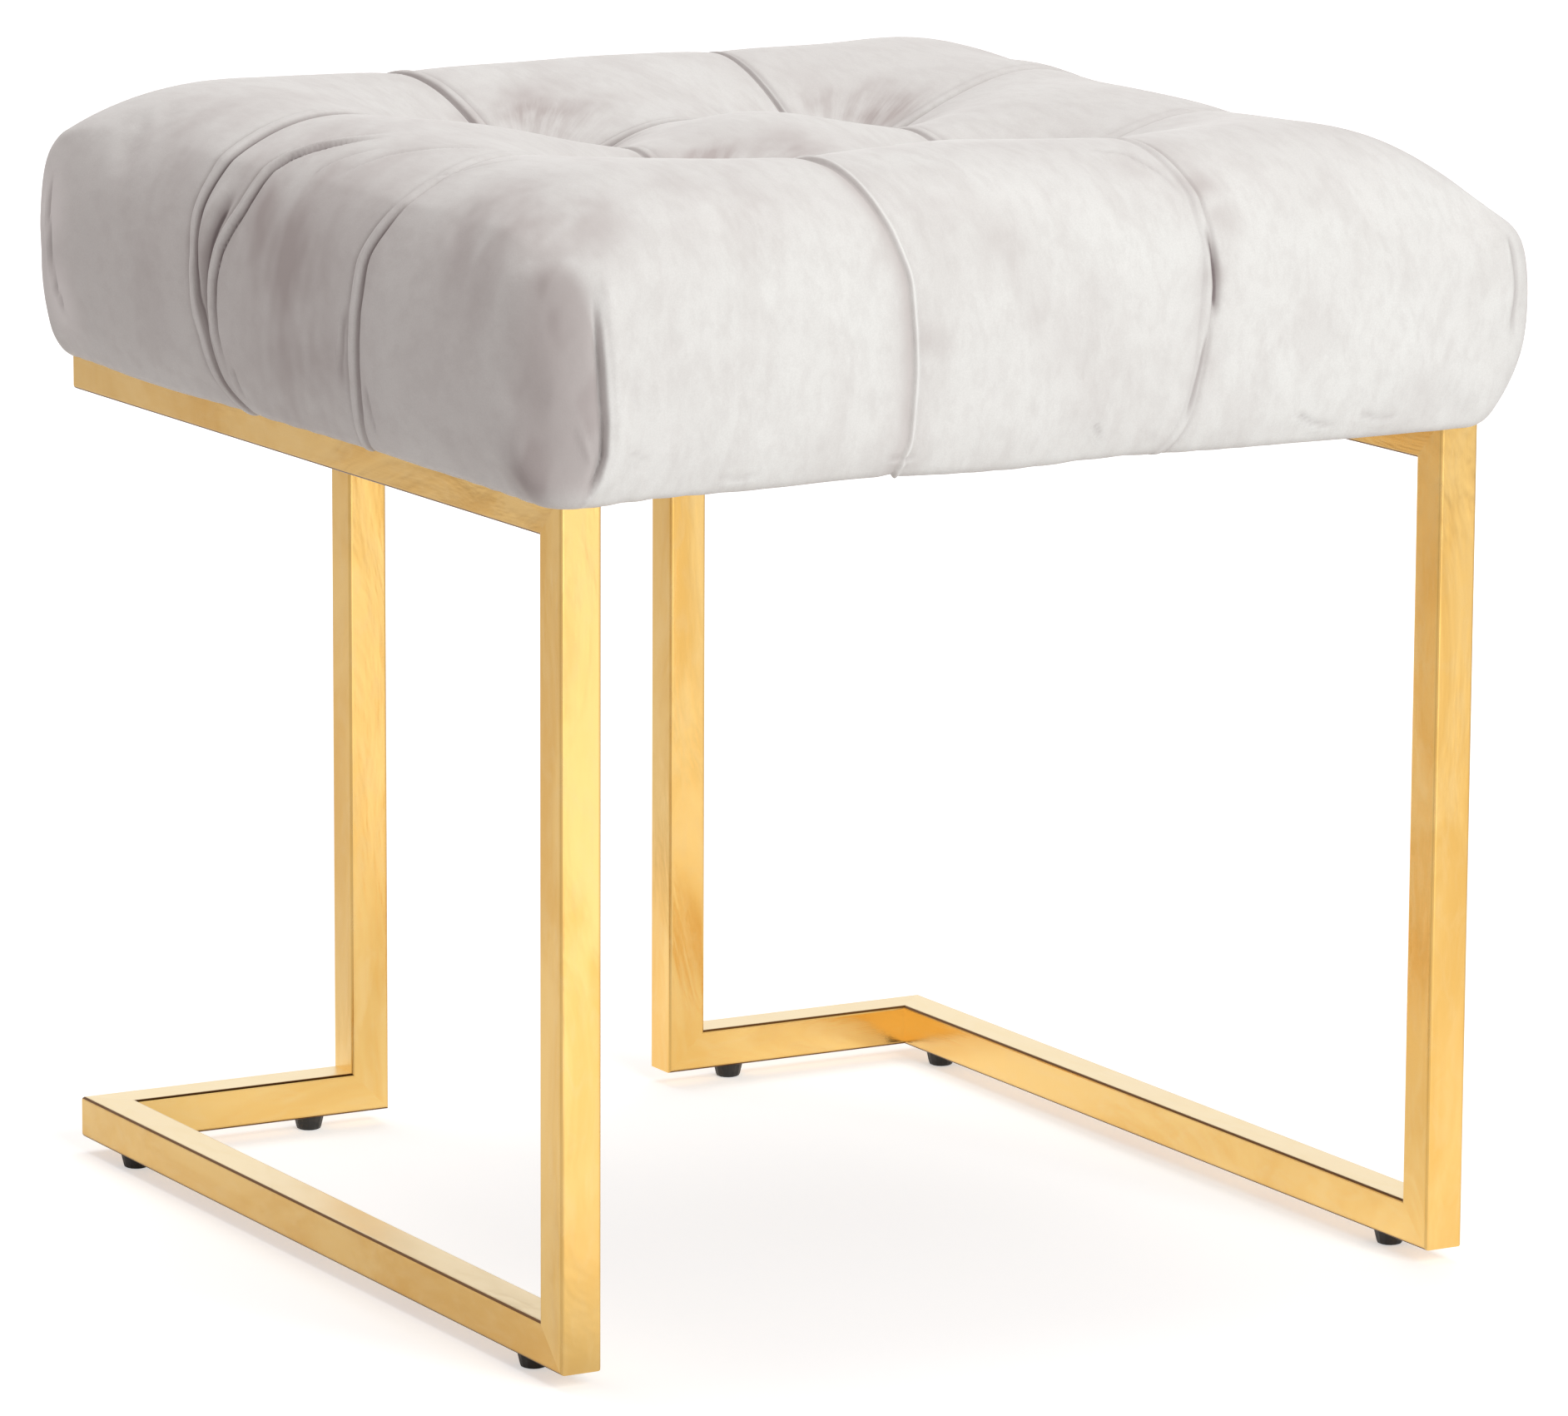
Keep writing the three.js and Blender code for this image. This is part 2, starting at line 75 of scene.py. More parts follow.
board_low, board_high = box_mm("seat_board")
button_low, button_high = box_mm("front_left_button")
FRAME_TOP = box_mm("left_side_rail_top")[1][2]
BOARD_BOTTOM, BOARD_TOP = board_low[2], board_high[2]
BELLY_X, BELLY_Y = box_mm("velvet_cover")[1][:2]
TUFT_X, TUFT_Y = abs((button_low + button_high) / 2)[:2]
tell("rails end at", FRAME_TOP, "mm, buttons", 2 * TUFT_X, "mm apart")

# %% [markdown]
# ## The camera
# A camera is placed by its position, the way it looks and its focal length. These numbers came
# from matching the corners of the frame in the photograph. A long lens from over three metres
# away keeps the sides nearly parallel, as in a catalogue picture.

# %% Camera
PHOTO_WIDTH = 1884
FOCAL_PIXELS = 9790.06
SENSOR = 36.0
CAMERA_PLACE = (-1.7391, -3.0879, 0.9037)
CAMERA_TURN = (-29.585, 10.815, 0.274)  # azimuth, elevation and roll, in degrees


def add_object(name, data):
    obj = bpy.data.objects.new(name, data)
    bpy.context.scene.collection.objects.link(obj)
    return obj


azimuth, elevation, roll = (math.radians(angle) for angle in CAMERA_TURN)
forward = Vector((-math.sin(azimuth) * math.cos(elevation),
                  math.cos(azimuth) * math.cos(elevation), -math.sin(elevation)))
level = Vector((math.cos(azimuth), math.sin(azimuth), 0))
upright = level.cross(forward)
right = math.cos(roll) * level + math.sin(roll) * upright
up = math.cos(roll) * upright - math.sin(roll) * level

camera = add_object("camera", bpy.data.cameras.new("camera"))
camera.data.sensor_width = SENSOR
camera.data.lens = FOCAL_PIXELS / PHOTO_WIDTH * SENSOR
camera.data.clip_end = 60
turn = Matrix((right, up, -forward)).transposed().to_4x4()
camera.matrix_world = Matrix.Translation(CAMERA_PLACE) @ turn
bpy.context.scene.camera = camera
tell("lens:", camera.data.lens, "mm")

# %% [markdown]
# ## Node helpers
# Materials are node trees. `Nodes` wraps a tree and has a short word for each node that the
# finishes use often. `add` makes a node and plugs sockets or plain values into it.

# %% Helper: short words for nodes
class Nodes:
    def __init__(self, tree):
        self.tree = tree

    def plug(self, socket, value):
        if isinstance(value, bpy.types.NodeSocket):
            self.tree.links.new(value, socket)
        else:
            socket.default_value = value

    def add(self, kind, inputs=None, **settings):
        node = self.tree.nodes.new(kind)
        for name, value in settings.items():
            setattr(node, name, value)
        for socket, value in (inputs or {}).items():
            self.plug(node.inputs[socket], value)
        return node

    def math(self, operation, a, b=0.0, c=0.0):
        return self.add("ShaderNodeMath", {0: a, 1: b, 2: c}, operation=operation).outputs[0]

    def times(self, a, b):
        return self.math("MULTIPLY", a, b)

    def vector(self, operation, inputs):
        return self.add("ShaderNodeVectorMath", inputs, operation=operation).outputs

    def split(self, vector):
        return self.add("ShaderNodeSeparateXYZ", {0: vector}).outputs

    def stretch(self, place, scale, rotation=(0.0, 0.0, 0.0)):
        return self.add("ShaderNodeMapping", {
            "Vector": place, "Rotation": rotation, "Scale": scale}).outputs[0]

    def noise(self, place, scale, detail, **more):
        return self.add("ShaderNodeTexNoise", {
            "Vector": place, "Scale": scale, "Detail": detail, **more}).outputs[0]

    def ramp(self, value, low, high, out_low=0.0, out_high=1.0):
        return self.add("ShaderNodeMapRange", {
            "Value": value, "From Min": low, "From Max": high, "To Min": out_low,
            "To Max": out_high}, interpolation_type="SMOOTHSTEP").outputs["Result"]

    def mix(self, share, a, b):
        a, b = ((*c, 1) if isinstance(c, tuple) else c for c in (a, b))
        return self.add("ShaderNodeMix", {0: share, 6: a, 7: b}, data_type="RGBA").outputs[2]


# %% [markdown]
# ## Effects that several finishes share
# Real surfaces are never one flat colour. `cloudy_marks` gives soft clouds and finer haze, for
# polish, velvet, wood and plastic alike. `rounded_edges` finds the narrow rounded corners of a
# straight tube by looking at the surface direction. `fine_threads` is a plain weave.

# %% Helper: a node group
def new_group(name, inputs, outputs):
    tree = bpy.data.node_groups.new(name, "ShaderNodeTree")
    for label, value in inputs.items():
        kind = "NodeSocketVector" if value is None else "NodeSocketFloat"
        socket = tree.interface.new_socket(label, in_out="INPUT", socket_type=kind)
        if value is not None:
            socket.default_value = value
    for label in outputs:
        tree.interface.new_socket(label, in_out="OUTPUT", socket_type="NodeSocketFloat")
    group = Nodes(tree)
    return group, group.add("NodeGroupInput").outputs, group.add("NodeGroupOutput").inputs


# %% Shared effect: cloudy marks
clouding, start, end = new_group("cloudy_marks", {
    "Place": None, "Cloud Scale": 10.0, "Haze Scale": 60.0, "Twist": 0.6}, ["Clouds", "Haze"])
broad = clouding.noise(start["Place"], start["Cloud Scale"], 4.0, Roughness=0.55,
                       Distortion=start["Twist"])
narrow = clouding.noise(start["Place"], start["Haze Scale"], 5.0, Roughness=0.6,
                        Distortion=start["Twist"])
clouding.plug(end["Clouds"], clouding.ramp(broad, 0.35, 0.68))
clouding.plug(end["Haze"], clouding.ramp(narrow, 0.42, 0.72))

# %% Shared effect: rounded edges of a straight tube
rounding, start, end = new_group("rounded_edges", {"Direction": None}, ["Edge"])
parts = rounding.split(rounding.vector("ABSOLUTE", {0: start["Direction"]})[0])
largest = rounding.math("MAXIMUM", parts[0], rounding.math("MAXIMUM", parts[1], parts[2]))
rounding.plug(end["Edge"], rounding.ramp(largest, 0.999, 0.93))

# %% Shared effect: woven threads
weaving, start, end = new_group("fine_threads", {
    "Place": None, "Threads per Metre": 900.0}, ["Height", "Gap"])
scaled = weaving.vector("SCALE", {0: start["Place"], "Scale": start["Threads per Metre"]})[0]
warp, weft = (weaving.math("SINE", weaving.times(part, math.pi))
              for part in weaving.split(scaled)[:2])
weaving.plug(end["Height"], weaving.ramp(weaving.times(warp, weft), -0.8, 0.8))
gap = weaving.times(weaving.math("ABSOLUTE", warp), weaving.math("ABSOLUTE", weft))
weaving.plug(end["Gap"], weaving.ramp(gap, 0.25, 0.0))
print("shared effects:", [group.name for group in bpy.data.node_groups])

# %% [markdown]
# A finish is a material with one shader. `set` plugs colours and numbers into that shader,
# `marks` puts the cloudy marks in, and `bump` makes the surface look uneven by a height.

# %% Helper: a finish
class Finish(Nodes):
    def __init__(self, name):
        self.material = bpy.data.materials.new(name)
        self.material.use_nodes = True
        super().__init__(self.material.node_tree)
        self.tree.nodes.clear()
        self.shader = self.add("ShaderNodeBsdfPrincipled")
        self.add("ShaderNodeOutputMaterial", {"Surface": self.shader.outputs[0]})
        coordinates = self.add("ShaderNodeTexCoord").outputs
        self.place, self.direction = coordinates["Object"], coordinates["Normal"]
        print("finish:", name)

    def set(self, values):
        for name, value in values.items():
            self.plug(self.shader.inputs[name], value)

    def marks(self, clouds, haze, twist=0.6, place=None):
        return self.add("ShaderNodeGroup", {
            "Place": place or self.place, "Cloud Scale": clouds, "Haze Scale": haze,
            "Twist": twist}, node_tree=clouding.tree).outputs

    def bump(self, height, strength, distance):
        bump = self.add("ShaderNodeBump", {
            "Height": height, "Strength": strength, "Distance": distance})
        self.set({"Normal": bump.outputs[0]})


# %% [markdown]
# ## The studio
# A white cyclorama: one large pale floor that runs off to the horizon and a world that is white
# where the camera or a polished surface looks at it. Only diffuse surfaces see the softer, warmer
# light of the world, so the velvet isn't flooded. A wide soft box at the front right is the key
# light. It leaves the left side in gentle shade, as in the photograph.

# %% World
bpy.context.scene.view_settings.view_transform = "Standard"
world = bpy.data.worlds.new("studio")
bpy.context.scene.world = world
world.use_nodes = True
world.node_tree.nodes.clear()
sky = Nodes(world.node_tree)
path = sky.add("ShaderNodeLightPath").outputs
seen = sky.math("MAXIMUM", path["Is Camera Ray"], path["Is Glossy Ray"])
seen = sky.math("MAXIMUM", seen, path["Is Transmission Ray"])
fill = sky.add("ShaderNodeBackground", {"Color": (1.0, 0.86, 0.84, 1), "Strength": 0.368})
white = sky.add("ShaderNodeBackground", {"Color": (1, 1, 1, 1), "Strength": 1.0})
chosen = sky.add("ShaderNodeMixShader", {0: seen, 1: fill.outputs[0], 2: white.outputs[0]})
sky.add("ShaderNodeOutputWorld", {0: chosen.outputs[0]})
print("world:", world.name)

# %% [markdown]
# The floor catches the shadows. Its paint also glows a little where the camera sees it, more with
# distance, so that it melts into the white behind. For polished metal the floor glows as well, a
# painted reflection that sets what the metal shows: dim at the left, where the left faces look,
# brighter between the legs and in front, where the front faces look, and a little less far out to
# the right.

# %% Floor
def mesh_object(name, points, faces):
    """points are in millimetres."""
    mesh = bpy.data.meshes.new(name)
    mesh.from_pydata((points * MM).tolist(), [], faces)
    mesh.update()
    return add_object(name, mesh)


floor_corners = np.array([(-20, -16, 0), (20, -16, 0), (20, 24, 0), (-20, 24, 0)]) / MM
floor = mesh_object("studio_floor", floor_corners, [(0, 1, 2, 3)])
paint = Finish("floor_paint")
paint.set({"Base Color": (0.80, 0.80, 0.80, 1), "Roughness": 0.9, "Specular IOR Level": 0.0})
path = paint.add("ShaderNodeLightPath").outputs
reach = paint.vector("LENGTH", {0: paint.place})["Value"]
to_camera = paint.math("MAXIMUM", path["Is Camera Ray"], path["Is Transmission Ray"])
to_camera = paint.times(to_camera, paint.ramp(reach, 0.7, 2.4, 0.5, 1.0))
sideways = paint.split(paint.place)[0]
# Painted reflection: a glow that only glossy rays see, set by place on the floor.
painted_reflection_glow = paint.times(paint.ramp(sideways, -0.21, -0.10, 0.18, 0.50),
                       paint.ramp(sideways, 0.2, 0.7, 0.95, 0.4))
strength = paint.math("ADD", to_camera, paint.times(path["Is Glossy Ray"], painted_reflection_glow))
glow = paint.add("ShaderNodeEmission", {"Color": (1, 1, 1, 1), "Strength": strength})
both = paint.add("ShaderNodeAddShader", {0: paint.shader.outputs[0], 1: glow.outputs[0]})
paint.plug(paint.tree.nodes["Material Output"].inputs["Surface"], both.outputs[0])
floor.data.materials.append(paint.material)

# %% Lamps
SEAT = Vector((0, 0, 0.3))


def soft_box(name, place, size, power, colour):
    lamp = bpy.data.lights.new(name, "AREA")
    lamp.size, lamp.energy, lamp.color = size, power, colour
    obj = add_object(name, lamp)
    obj.rotation_mode = "QUATERNION"
    obj.rotation_quaternion = (SEAT - Vector(place)).to_track_quat("-Z", "Y")
    obj.location = place
    obj.visible_camera = obj.visible_glossy = False


soft_box("key_box", (0.14, -3.0, 1.6), 1.6, 69, (0.955, 1.0, 0.99))
soft_box("top_box", (0.2, 0.8, 3.0), 2.4, 42, (0.97, 1.0, 1.0))
print("lamps:", [lamp.name for lamp in bpy.data.lights])

# %% [markdown]
# ## Polished gold tube
# The frames are steel tube, plated and polished by hand. A polished plate is a metal with a low
# roughness, and what makes it look real is that the low roughness isn't even: wiping leaves amber
# clouds, and the buffing wheel leaves faint lines along the tube. On the lying tubes a thin brown
# line is painted on the rounded corners, a painted reflection of the dark underside of the seat.
# Their upper faces are painted paler, a painted reflection of the bright room, and made duller.

# %% Gold for one pair of tubes
def gold_finish(name, along):
    """along is the axis of the tube, 0 to 2."""
    gold = Finish(name)
    wiped, buffed = ([shrink if axis == along else 1.0 for axis in range(3)]
                     for shrink in (0.35, 0.02))
    marks = gold.marks(22.0, 120.0, twist=1.1, place=gold.stretch(gold.place, wiped))
    lines = gold.noise(gold.stretch(gold.place, buffed), 2600.0, 2.0)
    edge = gold.add("ShaderNodeGroup", {"Direction": gold.direction}, node_tree=rounding.tree)
    # Painted reflection: a thin dark line on the rounded corners, full on the lying tubes.
    rim = gold.times(edge.outputs["Edge"], 0.25 if along == 2 else 1.0)
    up = gold.ramp(gold.split(gold.direction)[2], 0.8, 0.95)

    plate = gold.mix(gold.times(marks["Clouds"], 0.65), (0.93, 0.625, 0.225), (0.80, 0.45, 0.10))
    plate = gold.mix(gold.times(marks["Haze"], 0.2), plate, (0.96, 0.74, 0.38))
    # Painted reflection: the faces that look up are painted paler.
    plate = gold.mix(gold.times(up, 0.75), plate, (1.0, 0.87, 0.60))
    # Painted reflection of the dark seat underside: dark brown on the rounded corners.
    plate = gold.mix(rim, plate, (0.14, 0.058, 0.014))
    dull = 0.19
    for cause, amount in ((marks["Haze"], 0.08), (up, 0.16), (rim, 0.12)):
        dull = gold.math("MULTIPLY_ADD", cause, amount, dull)
    gold.set({"Base Color": plate, "Metallic": 1.0, "Roughness": dull})
    height = gold.math("MULTIPLY_ADD", lines, 0.08, gold.times(marks["Clouds"], 0.9))
    gold.bump(height, 0.28, 0.0012)
    return gold.material


# %% Gold on all twelve tubes
ACROSS, DEEP, UPRIGHT = 0, 1, 2
tubes = {"front_leg": UPRIGHT, "side_rail_top": DEEP, "rear_rail_top": ACROSS,
         "rear_leg": UPRIGHT, "rear_rail_bottom": ACROSS, "side_rail_bottom": DEEP}


def finish_node(name, material):
    for material_slot in nodes[name].material_slots:
        material_slot.material = material


for tube, along in tubes.items():
    gold = gold_finish(f"gold_{tube}", along)
    for side in ("left", "right"):
        finish_node(f"{side}_{tube}", gold)
print("gold tubes:", 2 * len(tubes))

# %% [markdown]
# ## Finishes of the small and hidden parts
# The feet and the tie washers are moulded black plastic: a fine grain from the mould and a little
# dust on what faces up. Screws, washers and threaded inserts are zinc plated, which is a grey
# metal with bluish and yellowish clouds. The seat board is plywood: long grain on its faces, and
# thin layers, light and dark in turn, on its edge. The twine is twisted, so its threads run
# aslant.

# %% Black plastic
plastic = Finish("moulded_plastic")
marks = plastic.marks(120.0, 900.0)
facing = plastic.split(plastic.direction)[2]
dust = plastic.times(plastic.ramp(facing, 0.2, 1.0), plastic.times(marks["Clouds"], 0.25))
dark = plastic.mix(marks["Clouds"], (0.014, 0.013, 0.012), (0.026, 0.023, 0.021))
plastic.set({"Base Color": plastic.mix(dust, dark, (0.16, 0.15, 0.14)),
             "Roughness": plastic.ramp(marks["Haze"], 0, 1, 0.42, 0.62)})
plastic.bump(marks["Haze"], 0.25, 0.0002)

# %% Zinc plate and staple wire
def plain_metal(name, clouds, haze, bluish, yellowish, smooth, rough):
    metal = Finish(name)
    marks = metal.marks(clouds, haze)
    metal.set({"Base Color": metal.mix(marks["Clouds"], bluish, yellowish), "Metallic": 1.0,
               "Roughness": metal.ramp(marks["Haze"], 0, 1, smooth, rough)})
    return metal


zinc = plain_metal("zinc_plate", 160.0, 700.0, (0.56, 0.60, 0.65), (0.66, 0.62, 0.54), 0.28, 0.46)
wire = plain_metal("staple_wire", 300.0, 1200.0, (0.62, 0.62, 0.62), (0.48, 0.46, 0.43), 0.25, 0.42)

# %% Plywood
PLY = 0.0024
plywood = Finish("birch_plywood")
veins = plywood.noise(plywood.stretch(plywood.place, (1.0, 0.06, 1.0)), 160.0, 5.0, Distortion=0.8)
marks = plywood.marks(9.0, 260.0)
face_wood = plywood.mix(plywood.ramp(veins, 0.35, 0.7), (0.60, 0.42, 0.25), (0.44, 0.28, 0.15))
face_wood = plywood.mix(plywood.times(marks["Clouds"], 0.3), face_wood, (0.66, 0.50, 0.32))
layer = plywood.math("SINE", plywood.times(plywood.split(plywood.place)[2], 2 * math.pi / PLY))
layers = plywood.mix(plywood.ramp(layer, -0.4, 0.4), (0.34, 0.21, 0.11), (0.62, 0.45, 0.28))
facing = plywood.split(plywood.direction)[2]
on_edge = plywood.ramp(plywood.math("ABSOLUTE", facing), 0.7, 0.3)
plywood.set({"Base Color": plywood.mix(on_edge, face_wood, layers),
             "Roughness": plywood.ramp(veins, 0.3, 0.7, 0.6, 0.8)})

# %% Twine
twine = Finish("waxed_twine")
lay = twine.stretch(twine.place, (1.0, 1.0, 0.3), rotation=(0.0, 0.6, 0.0))
threads = twine.ramp(twine.noise(lay, 2400.0, 3.0), 0.3, 0.7)
twine.set({"Base Color": twine.mix(threads, (0.46, 0.38, 0.27), (0.72, 0.64, 0.50)),
           "Roughness": 0.8})

# %% Hand the finishes out
small_finishes = {"tie_washer": plastic, "foot": plastic, "washer": zinc, "screw": zinc,
                  "insert": zinc, "twine": twine, "board": plywood}
given = 0
for name in nodes:
    endings = [ending for ending in small_finishes if name.endswith(ending)]
    if endings:
        finish_node(name, small_finishes[endings[0]].material)
        given += 1
print("small finishes given to", given, "parts")

# %% [markdown]
# ## Velvet
# Velvet is a short standing pile. Its colour shifts where the pile was brushed the other way,
# painted shade makes it darker deep in a fold, and it shines softly where it is seen from the
# side, which is what the sheen of the shader does. Round each button the painted shade is broken
# up into rays: a noise that is read by direction and hardly by distance.

# %% Rays round the buttons
RAY_FINENESS = 12.0


def button_rays(finish):
    whole = finish.split(finish.place)
    from_button = finish.add("ShaderNodeCombineXYZ", {
        axis: finish.math("SUBTRACT", finish.math("ABSOLUTE", whole[axis]), tuft * MM)
        for axis, tuft in enumerate((TUFT_X, TUFT_Y))}).outputs[0]
    reach = finish.vector("LENGTH", {0: from_button})["Value"]
    aim = finish.vector("NORMALIZE", {0: from_button})[0]
    aim = finish.vector("SCALE", {0: aim, "Scale": RAY_FINENESS})[0]
    corner = finish.math("MULTIPLY_ADD", finish.math("SIGN", whole[0]), 3.1,
                         finish.times(finish.math("SIGN", whole[1]), 7.7))
    apart = finish.add("ShaderNodeCombineXYZ", {
        2: finish.math("MULTIPLY_ADD", reach, 34.0, corner)}).outputs[0]
    rays = finish.noise(finish.vector("ADD", {0: aim, 1: apart})[0], 1.0, 4.0, Roughness=0.6)
    ring = finish.times(finish.ramp(reach, 0.012, 0.03), finish.ramp(reach, 0.076, 0.05))
    rays = finish.times(ring, finish.ramp(rays, 0.32, 0.66, -0.35, 0.4))
    return finish.math("ADD", rays, 1.0)


# %% [markdown]
# The cushion's mesh carries two attributes of painted light. The first is painted shade in the
# folds: 1 at the bottom of a pleat and 0 on the open puffs. `nap` is painted shade above 0, where
# the pile leans away and the cloth lies in shade, and painted highlight below 0, where it catches
# the light. The colour is built up in layers, from the broad clouds to the painted shade of the
# folds.

# %% Velvet
velvet = Finish("brushed_velvet")
nap = velvet.marks(13.0, 42.0, twist=0.7)
fold_shade, shade = (velvet.add("ShaderNodeAttribute", attribute_name=name).outputs["Fac"]
               for name in ("fold_shade", "nap"))
# The painted shade round the buttons is broken into rays.
shade = velvet.times(shade, button_rays(velvet))
pile = velvet.noise(velvet.place, 1500.0, 2.0)
brushed = velvet.stretch(velvet.place, (1.0, 0.3, 0.5), rotation=(0.5, 0.3, 0.6))
strokes = velvet.noise(brushed, 44.0, 8.0, Roughness=0.62, Distortion=0.4)
tufty = velvet.noise(brushed, 210.0, 6.0, Roughness=0.6)
tone = (0.750, 0.745, 0.728)
# The last four layers are painted light: painted shade and painted highlight from nap, then painted
# shade in the folds.
for share, colour in (
        (velvet.times(nap["Clouds"], 0.32), (0.62, 0.592, 0.578)),
        (velvet.times(nap["Haze"], 0.22), (0.80, 0.79, 0.775)),
        (velvet.ramp(strokes, 0.48, 0.66, 0.0, 0.26), (0.57, 0.535, 0.52)),
        (velvet.ramp(tufty, 0.42, 0.66, 0.0, 0.20), (0.55, 0.52, 0.505)),
        (velvet.ramp(pile, 0.35, 0.65, 0.0, 0.14), (0.52, 0.50, 0.485)),
        (velvet.times(shade, 0.9), (0.485, 0.435, 0.424)),
        (velvet.ramp(shade, 0.0, -1.0), (0.93, 0.91, 0.90)),
        (velvet.times(fold_shade, 0.75), (0.26, 0.215, 0.215)),
        (velvet.ramp(fold_shade, 0.7, 1.0, 0.0, 0.6), (0.10, 0.07, 0.075))):
    tone = velvet.mix(share, tone, colour)
velvet.set({"Base Color": tone, "Roughness": velvet.ramp(nap["Haze"], 0, 1, 0.78, 0.95),
            "Specular IOR Level": 0.25, "Sheen Weight": 0.42, "Sheen Roughness": 0.4,
            "Sheen Tint": (1.0, 0.985, 0.975, 1)})
velvet.bump(velvet.math("MULTIPLY_ADD", pile, 0.3, velvet.times(nap["Haze"], 0.5)), 0.16, 0.001)

# %% Black cloth
cloth = Finish("dust_cloth_black")
weave = cloth.add("ShaderNodeGroup", {"Place": cloth.place, "Threads per Metre": 900.0},
                  node_tree=weaving.tree).outputs
marks = cloth.marks(14.0, 240.0)
dark = cloth.mix(weave["Height"], (0.012, 0.012, 0.013), (0.035, 0.035, 0.038))
dark = cloth.mix(cloth.times(marks["Clouds"], 0.35), dark, (0.06, 0.058, 0.056))
dark = cloth.mix(cloth.times(weave["Gap"], 0.6), dark, (0.004, 0.004, 0.004))
cloth.set({"Base Color": dark, "Roughness": 0.9})
cloth.bump(weave["Height"], 0.4, 0.0003)

# %% [markdown]
# ## The cushion, first as a rule
# The cushion is a foam block in a velvet cover. Four buttons pull the cover down to the board and
# the cloth between them folds into pleats that run over the edge to the hem. That is a shape with
# a rule, so it starts as a height written in x and y: rounded shoulders, a pit at every button
# and a shallow valley along every pleat. Three curves are enough for all of it: a soft step, a
# bell and a plateau.

# %% The three curves
def smooth_step(value, low, high):
    t = np.clip((value - low) / (high - low), 0, 1)
    return t * t * (3 - 2 * t)


def bell(distance, width):
    return np.exp(-((distance / width) ** 2))


def plateau(value, low, full, fading, gone):
    return smooth_step(value, low, full) * (1 - smooth_step(value, fading, gone))


# %% The height of the top
COVER_BOTTOM = FRAME_TOP + 0.3
CROWN = COVER_BOTTOM + 125
OVERHANG = BELLY_X - board_high[0]
SHOULDER_DROP, SHOULDER_REACH = 30, 84
DISH_DEPTH, DISH_REACH = 22, 56
PIT_DEPTH, PIT_REACH, PIT_FLOOR = 20, 20, 15.56
PLEAT_DEPTH, PLEAT_REACH = 2.6, 10
TUFTS = [(x, y) for x in (-TUFT_X, TUFT_X) for y in (-TUFT_Y, TUFT_Y)]


def edge_drop(distance):
    return SHOULDER_DROP * np.maximum(0, 1 - distance / SHOULDER_REACH) ** 2.4


def tuft_pit(distance):
    return DISH_DEPTH * bell(distance, DISH_REACH) + PIT_DEPTH * np.exp(-distance / PIT_REACH)


def pleat_drop(distance, from_tuft):
    depth = PLEAT_DEPTH * smooth_step(from_tuft, PIT_FLOOR, 2 * PIT_FLOOR)
    depth = depth * (1 - 0.5 * smooth_step(from_tuft, 50, 150))
    return depth * np.exp(-distance / PLEAT_REACH)


def top_height(x, y):
    off_x, off_y = np.abs(np.abs(x) - TUFT_X), np.abs(np.abs(y) - TUFT_Y)
    from_tuft = np.hypot(off_x, off_y)
    drop = edge_drop(BELLY_X - np.abs(x)) + edge_drop(BELLY_Y - np.abs(y))
    for pit_x, pit_y in TUFTS:
        drop = drop + tuft_pit(np.maximum(0, np.hypot(x - pit_x, y - pit_y) - PIT_FLOOR))
    return CROWN - drop - pleat_drop(off_x, from_tuft) - pleat_drop(off_y, from_tuft)


# %% [markdown]
# The grid lines of the mesh lie close together where the pleats will be, because a sharp fold
# needs many narrow faces, and further apart on the open puffs. The plan is a rounded rectangle.

# %% Grid lines
SHOULDER_INSET, SHOULDER_RADIUS = 13, 28
BESIDE_PLEAT = np.array([-15, -11, -8, -5.5, -3.6, -2.1, -1, 0, 1, 2.1, 3.6, 5.5, 8, 11, 15])
PLEAT_ZONE = BESIDE_PLEAT[-1]
half_x, half_y = BELLY_X - SHOULDER_INSET, BELLY_Y - SHOULDER_INSET


def grid_lines(half, tuft, inner):
    corner = half - SHOULDER_RADIUS
    outer = np.linspace(tuft + PLEAT_ZONE, corner, 24)[1:-1]
    return np.concatenate([inner, tuft + BESIDE_PLEAT, outer, np.linspace(corner, half, 10)])


even_x = grid_lines(half_x, TUFT_X, np.linspace(0, TUFT_X - PLEAT_ZONE, 16)[:-1])
even_y = grid_lines(half_y, TUFT_Y, np.linspace(0, TUFT_Y - PLEAT_ZONE, 16)[:-1])
dense_y = grid_lines(half_y, TUFT_Y, np.concatenate([
    np.linspace(0, 24, 7), np.arange(26, TUFT_Y - PLEAT_ZONE, 2)]))
corner_crease = np.arange(190, 212, 1.3)
dense_x = np.concatenate([even_x[even_x < 189], corner_crease, even_x[even_x > 212.5]])
lines_x = np.concatenate([-dense_x[:0:-1], even_x])
lines_y = np.concatenate([-even_y[:0:-1], dense_y])
across, deep = len(lines_x), len(lines_y)
print("grid of the top:", across, "by", deep)

# %% Plan of the top
def plan_point(u, v, half_x, half_y, radius):
    ring = np.maximum(np.abs(u), np.abs(v))
    rounding = radius * ring
    square = np.stack([u * half_x, v * half_y], -1)
    core = np.stack([ring * half_x - rounding, ring * half_y - rounding], -1)
    core = np.clip(square, -core, core)
    outward = square - core
    length = np.maximum(np.linalg.norm(outward, axis=-1), 1e-9)
    return core + outward / length[..., None] * np.minimum(length * 1e9, rounding)[..., None]


grid_x, grid_y = np.meshgrid(lines_x, lines_y)
top_plan = plan_point(grid_x / half_x, grid_y / half_y, half_x, half_y, SHOULDER_RADIUS)
top = np.dstack([top_plan, top_height(top_plan[..., 0], top_plan[..., 1])])
tell("top of the cushion:", top[..., 2].max(), "mm high")

# %% [markdown]
# ## The side wall
# From the edge of the top the cloth runs down over the belly to a soft roll that hides the top
# edge of the rail, then under the board, where it is folded in. Each column of the border is a
# curve through a few rings: how far in from the belly it lies, and how high. A spline through the
# rings keeps it smooth. The front falls nearly straight and turns in with a tight roll.

